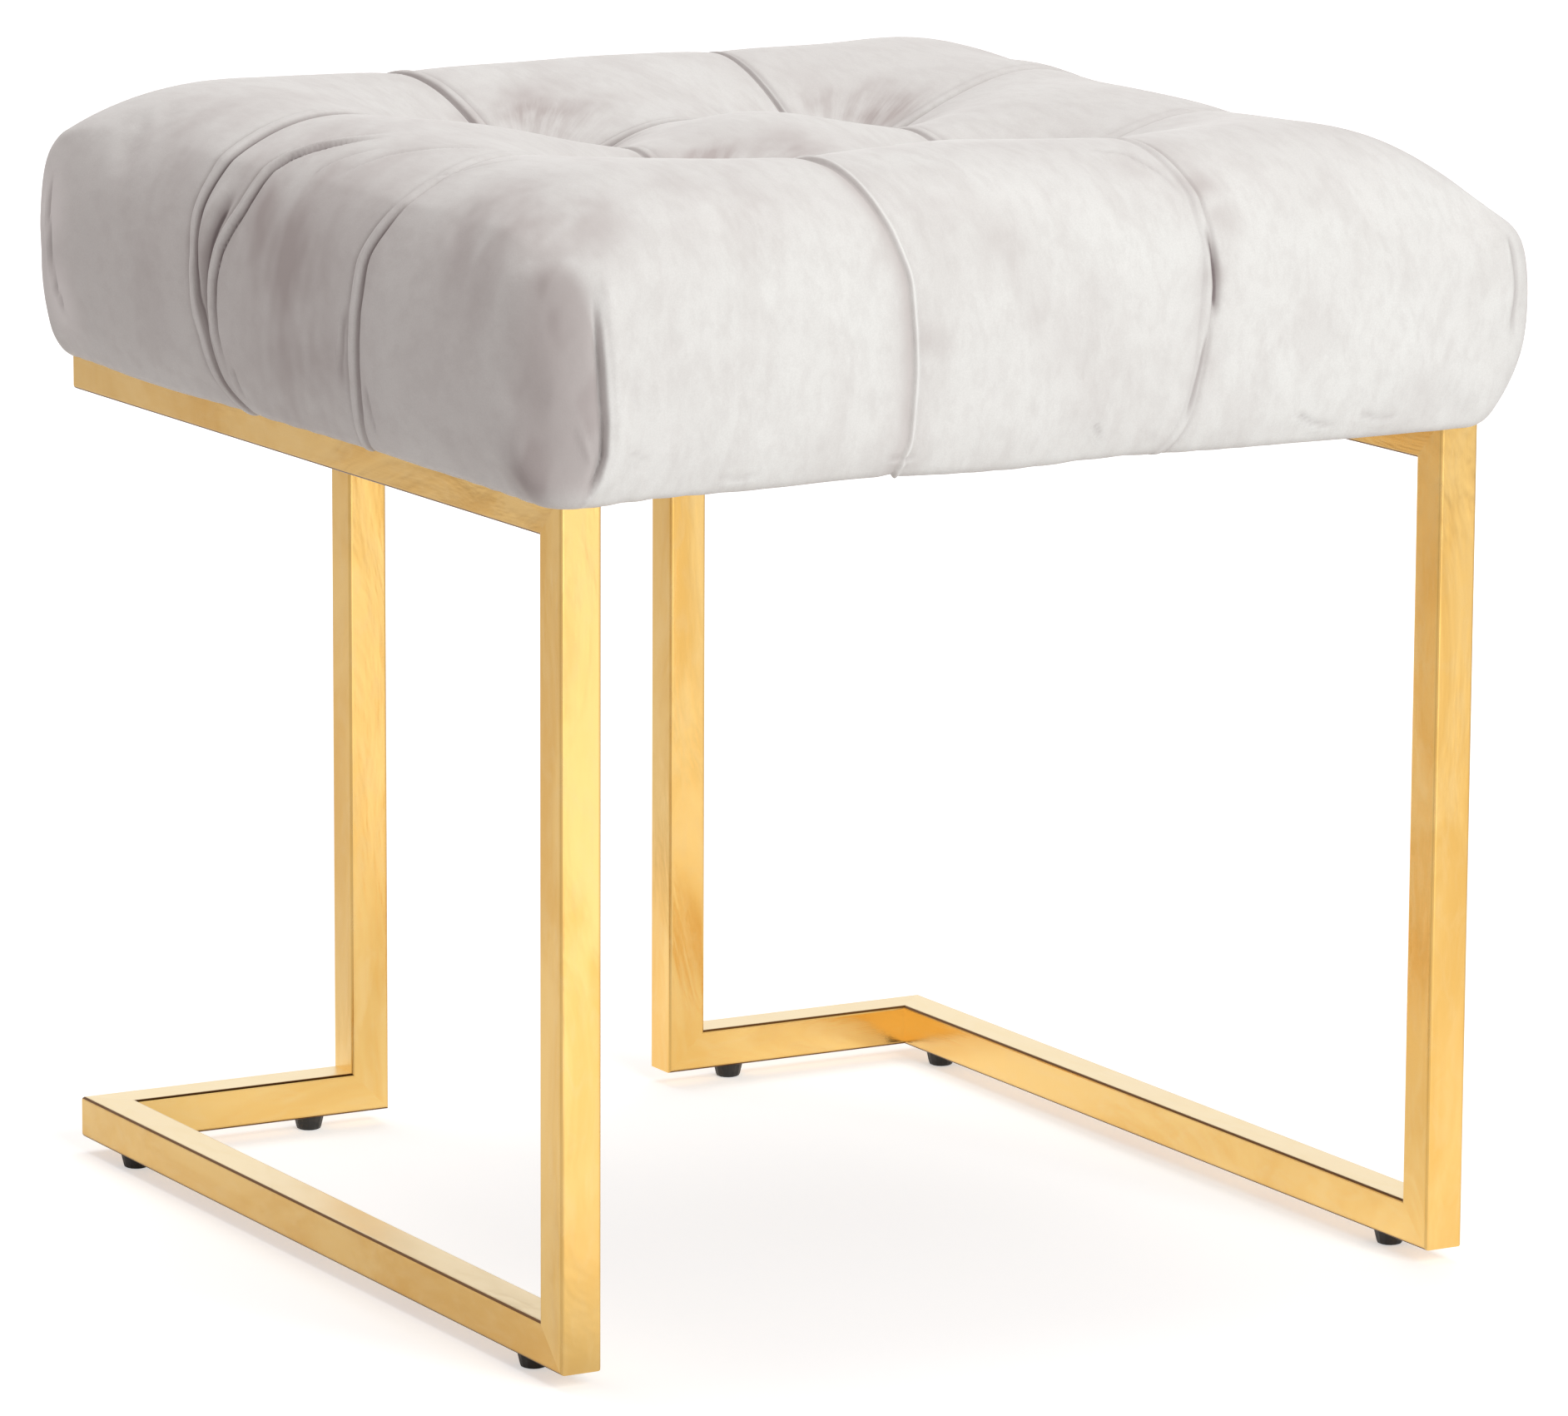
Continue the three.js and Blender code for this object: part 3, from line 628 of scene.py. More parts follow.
# %% Rings of the wall
RINGS = [  # inset from the belly, height, how far each corner takes its own radius, rows of mesh
    (3.2, 458.5, 1.0, 6),
    (0.3, 436.0, 1.0, 5),
    (0.3, 412.0, 1.0, 4),
    (1.2, 391.0, 0.8, 4),
    (3.0, 378.5, 0.3, 4),
    (7.5, 371.4, 0.1, 3),
    (13.0, 369.6, 0.0, 2),
    (OVERHANG - 0.7, COVER_BOTTOM, 0.0, 2),
]
HEM_RADIUS = 13


def border_of(across, deep):
    """Column and row of every point round a grid."""
    return ([(i, 0) for i in range(across - 1)] + [(across - 1, j) for j in range(deep - 1)]
            + [(i, deep - 1) for i in range(across - 1, 0, -1)]
            + [(0, j) for j in range(deep - 1, 0, -1)])


border = border_of(across, deep)
border_x = np.array([lines_x[i] for i, j in border])
border_y = np.array([lines_y[j] for i, j in border])
edge_row = np.array([top[j, i] for i, j in border])
inner_row = np.array([top[min(max(j, 2), deep - 3), min(max(i, 2), across - 3)] for i, j in border])
corner_radius = np.where(border_x < 0, np.where(border_y < 0, 42, 25),
                         np.where(border_y < 0, 18, 20))


def ring_row(inset, height, share=0.0, hem_radius=HEM_RADIUS):
    radius = hem_radius + share * (corner_radius - hem_radius)
    plan = plan_point(border_x / half_x, border_y / half_y,
                      BELLY_X - inset, BELLY_Y - inset, radius)
    return np.column_stack([plan, np.full(len(plan), height)])


# %% Splines down the wall
def spline(before, start, end, after, t):
    tangent_a, tangent_b = (end - before) / 2, (after - start) / 2
    t2, t3 = t * t, t * t * t
    return ((2 * t3 - 3 * t2 + 1) * start + (t3 - 2 * t2 + t) * tangent_a
            + (3 * t2 - 2 * t3) * end + (t3 - t2) * tangent_b)


controls = [inner_row, edge_row] + [ring_row(*ring[:3]) for ring in RINGS]
controls.append(2 * controls[-1] - controls[-2])
wall = [spline(*controls[k:k + 4], step / ring[3])
        for k, ring in enumerate(RINGS) for step in range(1, ring[3] + 1)]
print("rows of the wall:", len(wall))

# %% [markdown]
# ## Closing the cushion
# Under the board the hem is folded in by 30 mm. From there the mesh turns up, follows the board's
# edge and closes over the board's top, so that the board sits in a slot of a closed form. A
# closed form is what the cloth solver needs for air pressure.

# %% The whole closed mesh
HEM = 30
BOARD_RADIUS = 20
PLAY = 0.3
folded_in = OVERHANG + HEM
round_board = {"inset": OVERHANG - PLAY - 0.05, "hem_radius": BOARD_RADIUS}
under = [
    ring_row(OVERHANG + 4, COVER_BOTTOM),
    ring_row(OVERHANG + 12, COVER_BOTTOM),
    ring_row(folded_in, COVER_BOTTOM),
    ring_row(folded_in, BOARD_BOTTOM - PLAY),
    ring_row(height=BOARD_BOTTOM - PLAY, **round_board),
    ring_row(height=BOARD_TOP + PLAY, **round_board),
    ring_row(folded_in, BOARD_TOP + PLAY),
]


def grid_faces(across, deep):
    corners = [j * across + i for j in range(deep - 1) for i in range(across - 1)]
    return [(a, a + 1, a + across + 1, a + across) for a in corners]


rows = wall + under
round_count = len(border)
faces = grid_faces(across, deep)
above, first = [j * across + i for i, j in border], across * deep
for _ in rows:
    below = list(range(first, first + round_count))
    for k in range(round_count):
        n = (k + 1) % round_count
        faces.append((above[n], above[k], below[k], below[n]))
    above, first = below, first + round_count
closing = [(above[(k + 1) % round_count], above[k], first) for k in range(round_count)]
base = np.vstack([top.reshape(-1, 3)] + rows + [np.array([[0, 0, BOARD_TOP + PLAY]])])
print("cushion mesh:", len(base), "points,", len(faces), "faces")

# %% [markdown]
# Every point keeps its place on the grid in `grid_ref` and its way down the wall in `level_ref`:
# 0 on the top, 1 at the end of the wall and 2 under the board. The folds are measured with them.

# %% Where each point belongs
EDGE, WALL_END, UNDERSIDE = 0.01, 1.5, 2.0
grid_ref = np.vstack([np.stack([grid_x, grid_y], -1).reshape(-1, 2)]
                     + [np.column_stack([border_x, border_y])] * len(rows) + [[[0, 0]]])
level_ref = np.concatenate([
    np.zeros(across * deep), np.repeat((np.arange(len(wall)) + 1) / len(wall), round_count),
    np.full(len(under) * round_count + 1, UNDERSIDE)])
print("levels:", len(np.unique(level_ref)))

# %% [markdown]
# ## The pleats wander
# On a hand-pulled cushion no pleat is straight. `PLEATS` gives, for each pleat, where it crosses
# the top edge, three heights of the wall and the hem. The cloth beside it moves along, less and
# less with distance, so that no faces cross.

# %% Let the pleats drift
LEVELS = (0, 0.24, 0.48, 0.68, 0.85)
PLEATS = {  # axis that moves, side, grid line, places at the levels, shown and rib: top, wall
    "front_left": (0, -1, -1, (-79, -73, -70, -72, -77), (0.2, 0.15), (3.6, 3.4)),
    "front_right": (0, -1, 1, (75, 76, 72, 66, 60), (0.55, 0.4), (-5.0, -5.5)),
    "rear_left": (0, 1, -1, (-81, -81, -80, -78, -75), (1.0, 0.8), (5.5, 5)),
    "rear_right": (0, 1, 1, (85, 84, 82, 78, 74), (0.9, 0.8), (2.8, 4)),
    "left_front": (1, -1, -1, (-106, -91, -85, -86, -84), (0.3, 1.0), (7, 7)),
    "left_rear": (1, -1, 1, (62, 70, 67, 52, 35), (1.1, 1.1), (9, 7)),
    "right_front": (1, 1, -1, (-84, -80, -78, -74, -70), (0.2, 0.6), (6, 6)),
    "right_rear": (1, 1, 1, (62, 64, 66, 70, 72), (0.3, 0.6), (6, 6)),
}


def drift_of(points, grid, level):
    moved = points.copy()
    tuft, half = (TUFT_X, TUFT_Y), (half_x, half_y)
    belly = (BELLY_X, BELLY_Y)
    on_wall = np.clip(level, 0, 1)
    for axis, side, line, places, _, _ in PLEATS.values():
        other = 1 - axis
        grows_in = smooth_step(side * grid[:, other], tuft[other] + 6, half[other])
        grown = 1 + (belly[axis] / half[axis] - 1) * np.minimum(1, on_wall * 4)
        shift = np.interp(on_wall, LEVELS, places) - line * tuft[axis] * grown
        near = np.exp(-(((grid[:, axis] - line * tuft[axis]) / 48) ** 2) / 2)
        moved[:, axis] += shift * grows_in * near * (level < WALL_END)
    near = bell(grid[:, 1], 42) * np.exp(-(((grid[:, 0] + TUFT_X) / 40) ** 2) / 2)
    moved[:, 0] += 12 * near * (level < EDGE)
    return moved


drifted = drift_of(base, grid_ref, level_ref)
tell("longest drift:", np.abs(drifted - base).max(), "mm")

# %% [markdown]
# `settle` then makes the cushion a little uneven, as a used one is: a rear corner stands fuller,
# the right shoulder is lower, two corners are drawn in at the hem and the front left corner hangs
# lowest.

# %% Let the cushion settle
def settle(points, level):
    x, y = points[:, 0], points[:, 1]
    up_high = 1 - smooth_step(level, 0.0, 0.4)
    low_down = plateau(level, 0.5, 0.8, 0.9, 0.99)

    def near_corner(side_x, side_y, reach):
        return bell(np.hypot(x - side_x * BELLY_X, y - side_y * BELLY_Y), reach)

    def mound(centre_x, centre_y, reach_x, reach_y):
        return bell(x - centre_x, reach_x) * bell(y - centre_y, reach_y) * up_high

    at_right = smooth_step(x, 130, 215) * up_high
    changes = [  # axis, millimetres, where
        (2, 6.5, near_corner(-1, 1, 52) * up_high),
        (2, -1.8, mound(-130, 190, 80, 60)),
        (2, 4.5, mound(188, 75, 45, 32)),
        (0, -8.0, near_corner(-1, 1, 55) * bell(level, 0.11)),
        (2, -3.2, smooth_step(x, 130, 228) * up_high * (1 - near_corner(1, 1, 120))),
        (2, 4.5, at_right * bell(y - 165, 50)),
        (2, -2.8, at_right * bell(y + 125, 70)),
        (2, -2.5, near_corner(1, -1, 50) * up_high),
        (0, 5.0, near_corner(-1, 1, 80) * low_down),
        (0, -4.0, near_corner(1, -1, 60) * bell(level - 0.16, 0.1)),
        (0, -11.0, near_corner(1, -1, 60) * low_down),
        (2, -2.2, near_corner(-1, -1, 50) * low_down),
        (0, 1.5, 1 - smooth_step(level, 0.8, 1.0)),
    ]
    moved = points.copy()
    for axis, amount, where in changes:
        moved[:, axis] += amount * where
    return moved


base = settle(drifted, level_ref)
tell("settled by up to", np.abs(base - drifted).max(), "mm")

# %% [markdown]
# ## Air in the cloth
# The rule alone looks turned on a lathe. A short cloth simulation with air pressure from inside
# and no gravity lets the cover swell between the buttons and pull tight at the pleats. The pits
# and the hem are pinned, and the pleats are held softly. How far a point may travel is capped, so
# that the cushion keeps its size, and the same steps give the same result on every run.

# %% Pins
ELSEWHERE = 999


def pleat_distance(grid, level):
    """Distance outwards from the pleat's line across x and across y, in millimetres."""
    across_x, across_y = np.abs(grid[:, 0]) - TUFT_X, np.abs(grid[:, 1]) - TUFT_Y
    on_wall = level > EDGE
    on_front = np.abs(np.abs(grid[:, 1]) - half_y) < 0.01
    return (np.where(on_wall & ~on_front, ELSEWHERE, across_x),
            np.where(on_wall & on_front, ELSEWHERE, across_y))


across_x, across_y = pleat_distance(grid_ref, level_ref)
from_tuft = np.hypot(*(np.abs(np.abs(grid_ref) - (TUFT_X, TUFT_Y))).T)
nearest = np.minimum(np.abs(across_x), np.abs(across_y))
on_top = level_ref < EDGE
pins = np.where(on_top, 0.6, 0.35) * np.exp(-nearest / 4)
pins = np.maximum(pins, on_top * (1 - smooth_step(from_tuft, 14, 24)))
pins = np.clip(np.maximum(pins, smooth_step(level_ref, 0.8, 0.95)), 0, 1)
print("points held:", int((pins > 0.5).sum()))

# %% Simulation
CAP = 3.5
FRAMES = 20
HOLDS = 20


def read_floats(data, key, width=1):
    flat = np.empty(len(data) * width, np.float32)
    data.foreach_get(key, flat)
    return flat.reshape(-1, width).astype(float)


def swell(points, faces, pins):
    dummy = mesh_object("swelling_cover", points, faces)
    group = dummy.vertex_groups.new(name="pins")
    for hold in np.linspace(1 / HOLDS, 1, HOLDS):
        chosen = np.where(np.abs(pins - hold) <= 0.5 / HOLDS)[0]
        group.add(chosen.tolist(), float(hold), "REPLACE")
    cloth = dummy.modifiers.new("cloth", "CLOTH")
    for name, value in {
            "quality": 4, "mass": 0.2, "tension_stiffness": 12, "compression_stiffness": 12,
            "shear_stiffness": 5, "bending_stiffness": 0.6, "use_pressure": True,
            "uniform_pressure_force": 4, "vertex_group_mass": "pins"}.items():
        setattr(cloth.settings, name, value)
    cloth.settings.effector_weights.gravity = 0
    cloth.collision_settings.use_collision = False
    for step in range(1, FRAMES + 1):
        bpy.context.scene.frame_set(step)
    depsgraph = bpy.context.evaluated_depsgraph_get()
    swollen = read_floats(dummy.evaluated_get(depsgraph).data.vertices, "co", 3) / MM
    bpy.context.scene.frame_set(1)
    bpy.data.objects.remove(dummy)
    travel = swollen - points
    length = np.linalg.norm(travel, axis=1, keepdims=True)
    tell("cloth travel: mean", length.mean(), "mm, most", length.max(), "mm")
    return points + travel * np.minimum(1, CAP / np.maximum(length, 1e-9)) * (1 - pins)[:, None]


base = swell(base, faces + closing, pins)

# %% [markdown]
# ## Subdivide, then press in the folds
# One subdivision rounds the faces. The distance to each pleat is stored on the points before, so
# it is known on the new points too. The lid over the board is left open until the end.

# %% One subdivision
def store_floats(mesh, values):
    for name, numbers in values.items():
        attribute = mesh.attributes.new(name, "FLOAT", "POINT")
        attribute.data.foreach_set("value", numbers.astype(np.float32))


measures = {"across_x": across_x, "across_y": across_y, "from_tuft": from_tuft,
            "level": level_ref, "grid_x": grid_ref[:, 0], "grid_y": grid_ref[:, 1]}
raw = mesh_object("cushion", base[:-1], faces)
store_floats(raw.data, {name: values[:-1] for name, values in measures.items()})
smoother = raw.modifiers.new("subdivision", "SUBSURF")
smoother.levels = smoother.render_levels = 1
depsgraph = bpy.context.evaluated_depsgraph_get()
fine = bpy.data.meshes.new_from_object(raw.evaluated_get(depsgraph))
bpy.data.objects.remove(raw)
across_x, across_y, from_tuft, level, fine_x, fine_y = (
    read_floats(fine.attributes[name].data, "value")[:, 0] for name in measures)
for name in measures:
    fine.attributes.remove(fine.attributes[name])
skin = read_floats(fine.vertices, "co", 3) / MM
outward = read_floats(fine.vertices, "normal", 3)
open_skin = 1 - smooth_step(level, 0.93, 1.0)
on_top = level < EDGE
on_left = smooth_step(level, 0.03, 0.2)
print("cushion after subdivision:", len(skin), "points")

# %% [markdown]
# A tucked pleat isn't a channel: it is a thin dark line where one layer dives under the other,
# with a narrow raised rib beside it and a second, fainter line beyond. `press` is how far the
# skin moves; the other two arrays hold the painted shade in the lines and the painted highlight
# on the flat rib.

# %% Pleats
RIB_HEIGHT, LINE_DEPTH, SECOND_LINE = 1.2, 1.4, 0.8
press, fold_shade, shine = np.zeros((3, len(skin)))


def rib_band(distance, low, high):
    return plateau(distance, low, low + 1.2, high - 1.5, high)


def pleat_look(axis):
    own, other, tuft = (fine_x, fine_y, TUFT_Y) if axis == 0 else (fine_y, fine_x, TUFT_X)
    strength = 1.0 - 0.35 * smooth_step(from_tuft, 30, 62)
    rib = np.full(len(own), 5.0)
    to_wall = smooth_step(level, 0, 0.14)
    near_tuft = 0.3 * (1 - smooth_step(from_tuft, 20, 60))
    for moves, side, line, _, shown, ribs in PLEATS.values():
        here = (moves == axis) & (np.sign(other) == side) & (np.sign(own) == line)
        here &= np.abs(other) > tuft
        strength = np.where(here, shown[0] + near_tuft + (shown[1] - shown[0]) * to_wall, strength)
        rib = np.where(here, ribs[0] + (ribs[1] - ribs[0]) * to_wall, rib)
    calmer_below = 1 - 0.4 * smooth_step(level, 0.3, 1.0)
    return strength * smooth_step(from_tuft, 4, 22) * open_skin * calmer_below, rib


for axis, distance, own, line in ((0, across_x, fine_x, 1.1), (1, across_y, fine_y, 1.7)):
    strength, rib = pleat_look(axis)
    signed = distance * np.sign(own + 1e-9) * np.sign(rib)
    rib = np.abs(rib)
    press += (RIB_HEIGHT * rib_band(signed, 0.2, rib) - LINE_DEPTH * bell(signed, line)
              - SECOND_LINE * bell(signed - rib, line)) * strength
    # Painted shade in the two lines of the pleat.
    fold_shade = np.maximum(fold_shade, 0.85 * bell(signed, line) * strength)
    fold_shade = np.maximum(fold_shade, 0.5 * bell(signed - rib, 0.9 * line) * strength)
    # Painted highlight on the flat rib of the left side.
    lit_rib = axis * rib_band(signed, 0.9, rib - 0.5) * strength * on_left * (fine_x < -TUFT_X)
    shine = np.maximum(shine, 0.4 * lit_rib)
# Painted shade in the pits round the buttons.
fold_shade = np.maximum(fold_shade, 0.55 * (1 - smooth_step(from_tuft, 8, 24)) * on_top)
tell("deepest pleat:", -press.min(), "mm")

# %% [markdown]
# The pleat at the front left lies open: its left side slopes down softly under the thin bright
# edge of the right. The slope gets painted shade and the edge a painted highlight.

# %% The open pleat
here = (fine_y < -TUFT_Y) & (fine_x < 0)
tucked = here * smooth_step(from_tuft, 10, 40) * open_skin
tucked *= 1 - 0.3 * smooth_step(level, 0.3, 1.0)
left_side = across_x > 0
press += tucked * (bell(across_x + 1.5, 0.8) - 1.3 * bell(across_x, np.where(left_side, 4.5, 0.8)))
# Painted shade on the soft slope.
slope = tucked * bell(across_x, np.where(left_side, 6, 0.7))
# Painted highlight on the thin edge.
shine = np.maximum(shine, 0.7 * tucked * bell(across_x + 1.4, 0.8))
print("points in the open pleat:", int((slope > 0.1).sum()))

# %% [markdown]
# Round each button the cloth gathers into short rays, the hem puckers a little where it was
# pulled under the board, and the foam is never quite even. The rays are drawn by chance, but with
# a fixed seed, so they are the same on every run.

# %% Rays
RAYS = 20
LEAST, MOST = (14, 1.5, 0.7), (48, 3.0, 1.9)  # length, width and depth of a ray
chance = np.random.default_rng(11)
for tuft_x, tuft_y in TUFTS:
    away = np.hypot(skin[:, 0] - tuft_x, skin[:, 1] - tuft_y)
    near = np.where((away < 78) & on_top)[0]
    away = away[near]
    angle = np.arctan2(skin[near, 1] - tuft_y, skin[near, 0] - tuft_x)
    for aim in np.linspace(0, 2 * math.pi, RAYS + 1)[:-1]:
        aim = aim + chance.uniform(-0.16, 0.16) + chance.uniform(-0.15, 0.15) * (away - 16) / 30
        length, width, depth = chance.uniform(LEAST, MOST)
        apart = np.angle(np.exp(1j * (angle - aim))) * away
        ray = bell(apart, width) * plateau(away, 9, 15, 14 + length / 3, 18 + length)
        press[near] -= depth * ray
        # Painted shade along each ray.
        fold_shade[near] = np.maximum(fold_shade[near], 0.36 * depth * ray)
print("rays:", RAYS * len(TUFTS))

# %% Puckers and uneven foam
def uneven(places, size, waves=7):
    total = np.zeros(len(places))
    for _ in range(waves):
        way = chance.normal(size=3)
        way *= chance.uniform(0.7, 1.4) / np.linalg.norm(way)
        total += np.sin(places @ way * (2 * math.pi / size) + chance.uniform(0, 2 * math.pi))
    return total / math.sqrt(waves)


round_hem = skin[:, 0] + skin[:, 1]
puckers = np.sin(round_hem / 2.9 + 2 * np.sin(round_hem / 23))
puckers *= 0.5 + 0.5 * np.sin(round_hem / 37 + 1)
press += 0.18 * puckers * plateau(level, 0.6, 0.85, 0.95, 1.0)
foam = 0.45 * uneven(skin, 120) + 0.1 * uneven(skin, 45)
press += foam * open_skin * smooth_step(from_tuft, 12, 40)
skin += outward * press[:, None]
tell("the skin moves by up to", np.abs(press).max(), "mm")

# %% [markdown]
# ## Creases
# A crease is a path of a few points near the surface, with a depth and a width. It has a raised
# lip on one side, or a flat rib with a second line beyond it where the cloth is tucked twice. A
# negative depth raises a ridge. Points within reach are pushed in or lifted along the surface
# direction, and the push fades out at the two ends of the path.

# %% Press a crease along a path
def press_crease(skin, outward, path, depth, width, rib):
    path = np.array(path, float)
    reach = np.ptp(path, axis=0).max() / 2 + 12 * width + 20
    close = np.where(np.linalg.norm(skin - path.mean(axis=0), axis=1) < 1.5 * reach)[0]
    part, facing = skin[close], outward[close]
    best = np.full(len(part), 1e9)
    side, along = np.zeros((2, len(part)))
    lengths = np.linalg.norm(np.diff(path, axis=0), axis=1)
    passed = 0.0
    for a, b, length in zip(path[:-1], path[1:], lengths):
        way = (b - a) / length
        t = np.clip((part - a) @ way, 0, length)
        apart = part - (a + t[:, None] * way)
        apart -= facing * np.sum(apart * facing, axis=1, keepdims=True) * 0.8
        distance = np.linalg.norm(apart, axis=1)
        closer = distance < best
        best = np.where(closer, distance, best)
        side = np.where(closer, np.sign(np.sum(np.cross(way, facing) * apart, axis=1)), side)
        along = np.where(closer, (passed + t) / lengths.sum(), along)
        passed += length
    fade = plateau(along, 0.0, 0.25, 0.75, 1.0)
    signed = best * side
    line = bell(signed, width)
    # mark is the painted shade of the line, lit the painted highlight on the rib.
    moved, (mark, lit) = skin.copy(), np.zeros((2, len(skin)))
    if rib:
        lit[close] = rib_band(signed, 0.9, rib - 0.5) * fade
        push = rib_band(signed, 0.3, rib) - 0.6 * bell(signed - rib, width) - line
        line = np.maximum(line, 0.6 * bell(signed - rib, 0.9 * width))
    else:
        push = (depth > 0) * 0.6 * bell(signed - 2.1 * width, 1.3 * width) - line
    moved[close] += facing * (depth * push * fade)[:, None]
    mark[close] = line * fade
    return moved, mark, lit


# %% [markdown]
# Three small words say where a point of a path lies: on the `front`, on the `left` or `over` the
# top. The corner's crease is pressed twice, once broad with faint painted shade and once narrow
# with dark painted shade. Only the rear fold of the left side has a rib, and it gets a painted
# highlight.

# %% Where the creases run
def front(x, z):
    return (x, -BELLY_Y + 1, z)


def left(y, z):
    return (-BELLY_X + 1, y, z)


def over(x, y):
    return (x, y, float(top_height(np.array(x), np.array(y))))


def on(face, *pairs):
    return [face(*pair) for pair in pairs]


corner_path = on(front, (-220, 362), (-218, 374), (-213, 391), (-212.5, 405), (-214, 425),
                 (-216, 446))
bulge = on(front, (-211, 472), (-209, 452), (-207, 430), (-205.5, 408), (-206, 380))
rear_fold = on(over, (-190, -24), (-202, -6), (-212, 8), (-220, 17), (-227, 22)) + [
    (-233.5, 26, 467), (-237, 30, 459)] + on(
    left, (37, 450), (44, 440), (49, 427), (50, 415), (49, 404), (44, 393), (38, 382))
second_fold = [(-234, 40, 468), (-237.5, 47, 460)] + on(
    left, (52, 452), (56, 444), (59, 435), (61, 425), (61, 412), (58, 400))
# The fourth column, how dark, is the painted shade of the line.
creases = [  # path, depth, width, how dark, rib
    (bulge, -1.8, 4.5, 0, 0),
    (corner_path + on(front, (-217, 459)), 1.4, 3.0, 0.4, 0),
    (corner_path + on(front, (-216.5, 457)), 2.8, 1.3, 1.0, 0),
    (on(front, (-222, 402), (-217, 394), (-212.5, 387)), 1.5, 1.3, 1.0, 0),
    (on(front, (-204, 393), (-197, 390), (-190, 387)), 0.6, 1.1, 0.25, 0),
    (on(front, (226, 458), (229, 434), (229, 408)), 1.8, 1.5, 0.7, 0),
    (on(left, (221, 458), (221, 436), (217, 406), (208, 384)), 1.5, 1.4, 0.6, 0),
    (rear_fold, 1.8, 1.6, 0.95, 6.5),
    (second_fold, 2.6, 3.6, 1.0, 0),
    (on(left, (-78, 434), (-74, 420), (-72, 406), (-73, 394)), 1.0, 1.5, 0.5, 0),
    (on(left, (-92, 402), (-96, 388), (-97, 376)), 0.9, 1.4, 0.35, 0),
    (on(left, (36, 392), (34, 384), (30, 376)), 1.0, 1.3, 0.4, 0),
    (on(front, (18, 388), (22, 382), (25, 376)), 1.0, 1.2, 0.5, 0),
    (on(front, (-80, 379), (-72, 377), (-64, 379)), 0.9, 1.2, 0.4, 0),
    (on(front, (118, 385), (128, 378), (140, 375)), 1.0, 1.3, 0.45, 0),
    (on(front, (150, 382), (162, 377), (172, 378)), 0.8, 1.3, 0.35, 0),
    (on(front, (-160, 377), (-150, 374), (-138, 376)), 0.7, 1.3, 0.3, 0),
    (on(over, (-226, -30), (-214, -40), (-204, -47), (-192, -61), (-172, -84)), 0.9, 1.7, 0.3, 0),
    (on(over, (-231, -10), (-220, -14), (-211, -22), (-200, -34)), 0.8, 1.7, 0.25, 0),
    (on(over, (-219, -94), (-208, -101), (-196, -113), (-180, -130)), 0.7, 1.7, 0.22, 0),
    (on(over, (40, -200), (58, -208), (66, -226), (68, -240)), 0.8, 1.4, 0.3, 0),
    (on(front, (74.5, 470), (76, 457), (77, 441), (76, 424)), 2.2, 2.0, 1.0, 0),
    (on(front, (74, 424), (71, 412), (68, 399), (64, 383)), 1.4, 1.7, 0.7, 0),
]
# Each crease adds painted shade along its line and painted highlight on its rib.
for path, depth, width, dark, rib in creases:
    skin, mark, lit = press_crease(skin, outward, path, depth, width, rib)
    fold_shade = np.maximum(fold_shade, mark * dark)
    shine = np.maximum(shine, 0.4 * lit * on_left)
print("creases:", len(creases))

# %% [markdown]
# ## Painted shade and highlight on the pile
# Hands and the brush leave the pile leaning this way and that, and the colour gets painted shade
# where the cloth lies in shade: between the two pleats at the left, round the buttons and beside
# each fold. A patch is a place, a reach and a strength, and the waves above break its outline up.
# A negative strength is a patch of painted highlight. The flat ribs get painted highlight too,
# where the pile stands open.

# %% Patches of painted shade and highlight
patches = {  # two coordinates on the face, reach, strength
    left: [
        (-18, 440, 40, 1.15), (-30, 405, 44, 0.85), (12, 457, 26, 1.2), (64, 438, 14, 0.6),
        (-34, 484, 34, 0.8), (40, 482, 22, 0.7), (222, 438, 24, -0.8), (216, 400, 24, -0.8),
        (52, 452, 18, 0.5), (110, 476, 26, 0.6), (120, 408, 26, 0.3)],
    front: [
        (-42, 484, 22, 0.5), (83, 470, 10, 0.75), (76, 445, 7, 0.8), (74, 410, 6, 0.5),
        (-29, 460, 22, 0.55), (-62, 427, 9, 0.5), (-2, 432, 26, 0.45), (66, 488, 20, 0.75),
        (20, 400, 22, 0.25)],
    over: [
        (-214, 20, 46, 0.55), (-214, 120, 40, 0.45), (-212, -60, 40, 0.5), (-135, -228, 26, 0.35),
        (-228, -180, 34, 0.85), (-214, -215, 30, 0.85), (-170, -222, 34, 0.35), (-54, 122, 26, 1.2),
        (-38, 112, 24, 0.9), (-20, 128, 26, 0.5), (-60, -24, 16, 1.0), (-44, -30, 20, 1.1),
        (-16, -48, 22, 1.0), (118, 98, 24, 1.0), (100, 122, 24, 0.6), (78, -232, 11, 0.75),
        (60, -220, 16, 0.5), (200, -165, 40, 0.3), (-150, -215, 30, 0.4)],
}
# Painted shade beside each fold and round the buttons.
nap_shade_and_highlight = 0.25 * np.maximum(bell(across_x, 10), bell(across_y, 10)) * open_skin
nap_shade_and_highlight = np.maximum(nap_shade_and_highlight, 0.9 * bell(from_tuft, 40) * on_top)
broken = np.clip(0.85 + 0.35 * uneven(skin, 34) + 0.12 * uneven(skin, 12), 0.2, 1.35)
for face, rows in patches.items():
    for u, v, reach, strength in rows:
        patch = strength * bell(np.linalg.norm(skin - np.array(face(u, v)), axis=1), reach)
        nap_shade_and_highlight, shine = np.maximum(nap_shade_and_highlight, patch), np.maximum(shine, -patch)
# Painted shade on the soft slope of the open pleat too.
nap_shade_and_highlight = np.maximum(0.85 * nap_shade_and_highlight * broken, 0.75 * slope)
print("patches:", sum(len(rows) for rows in patches.values()))
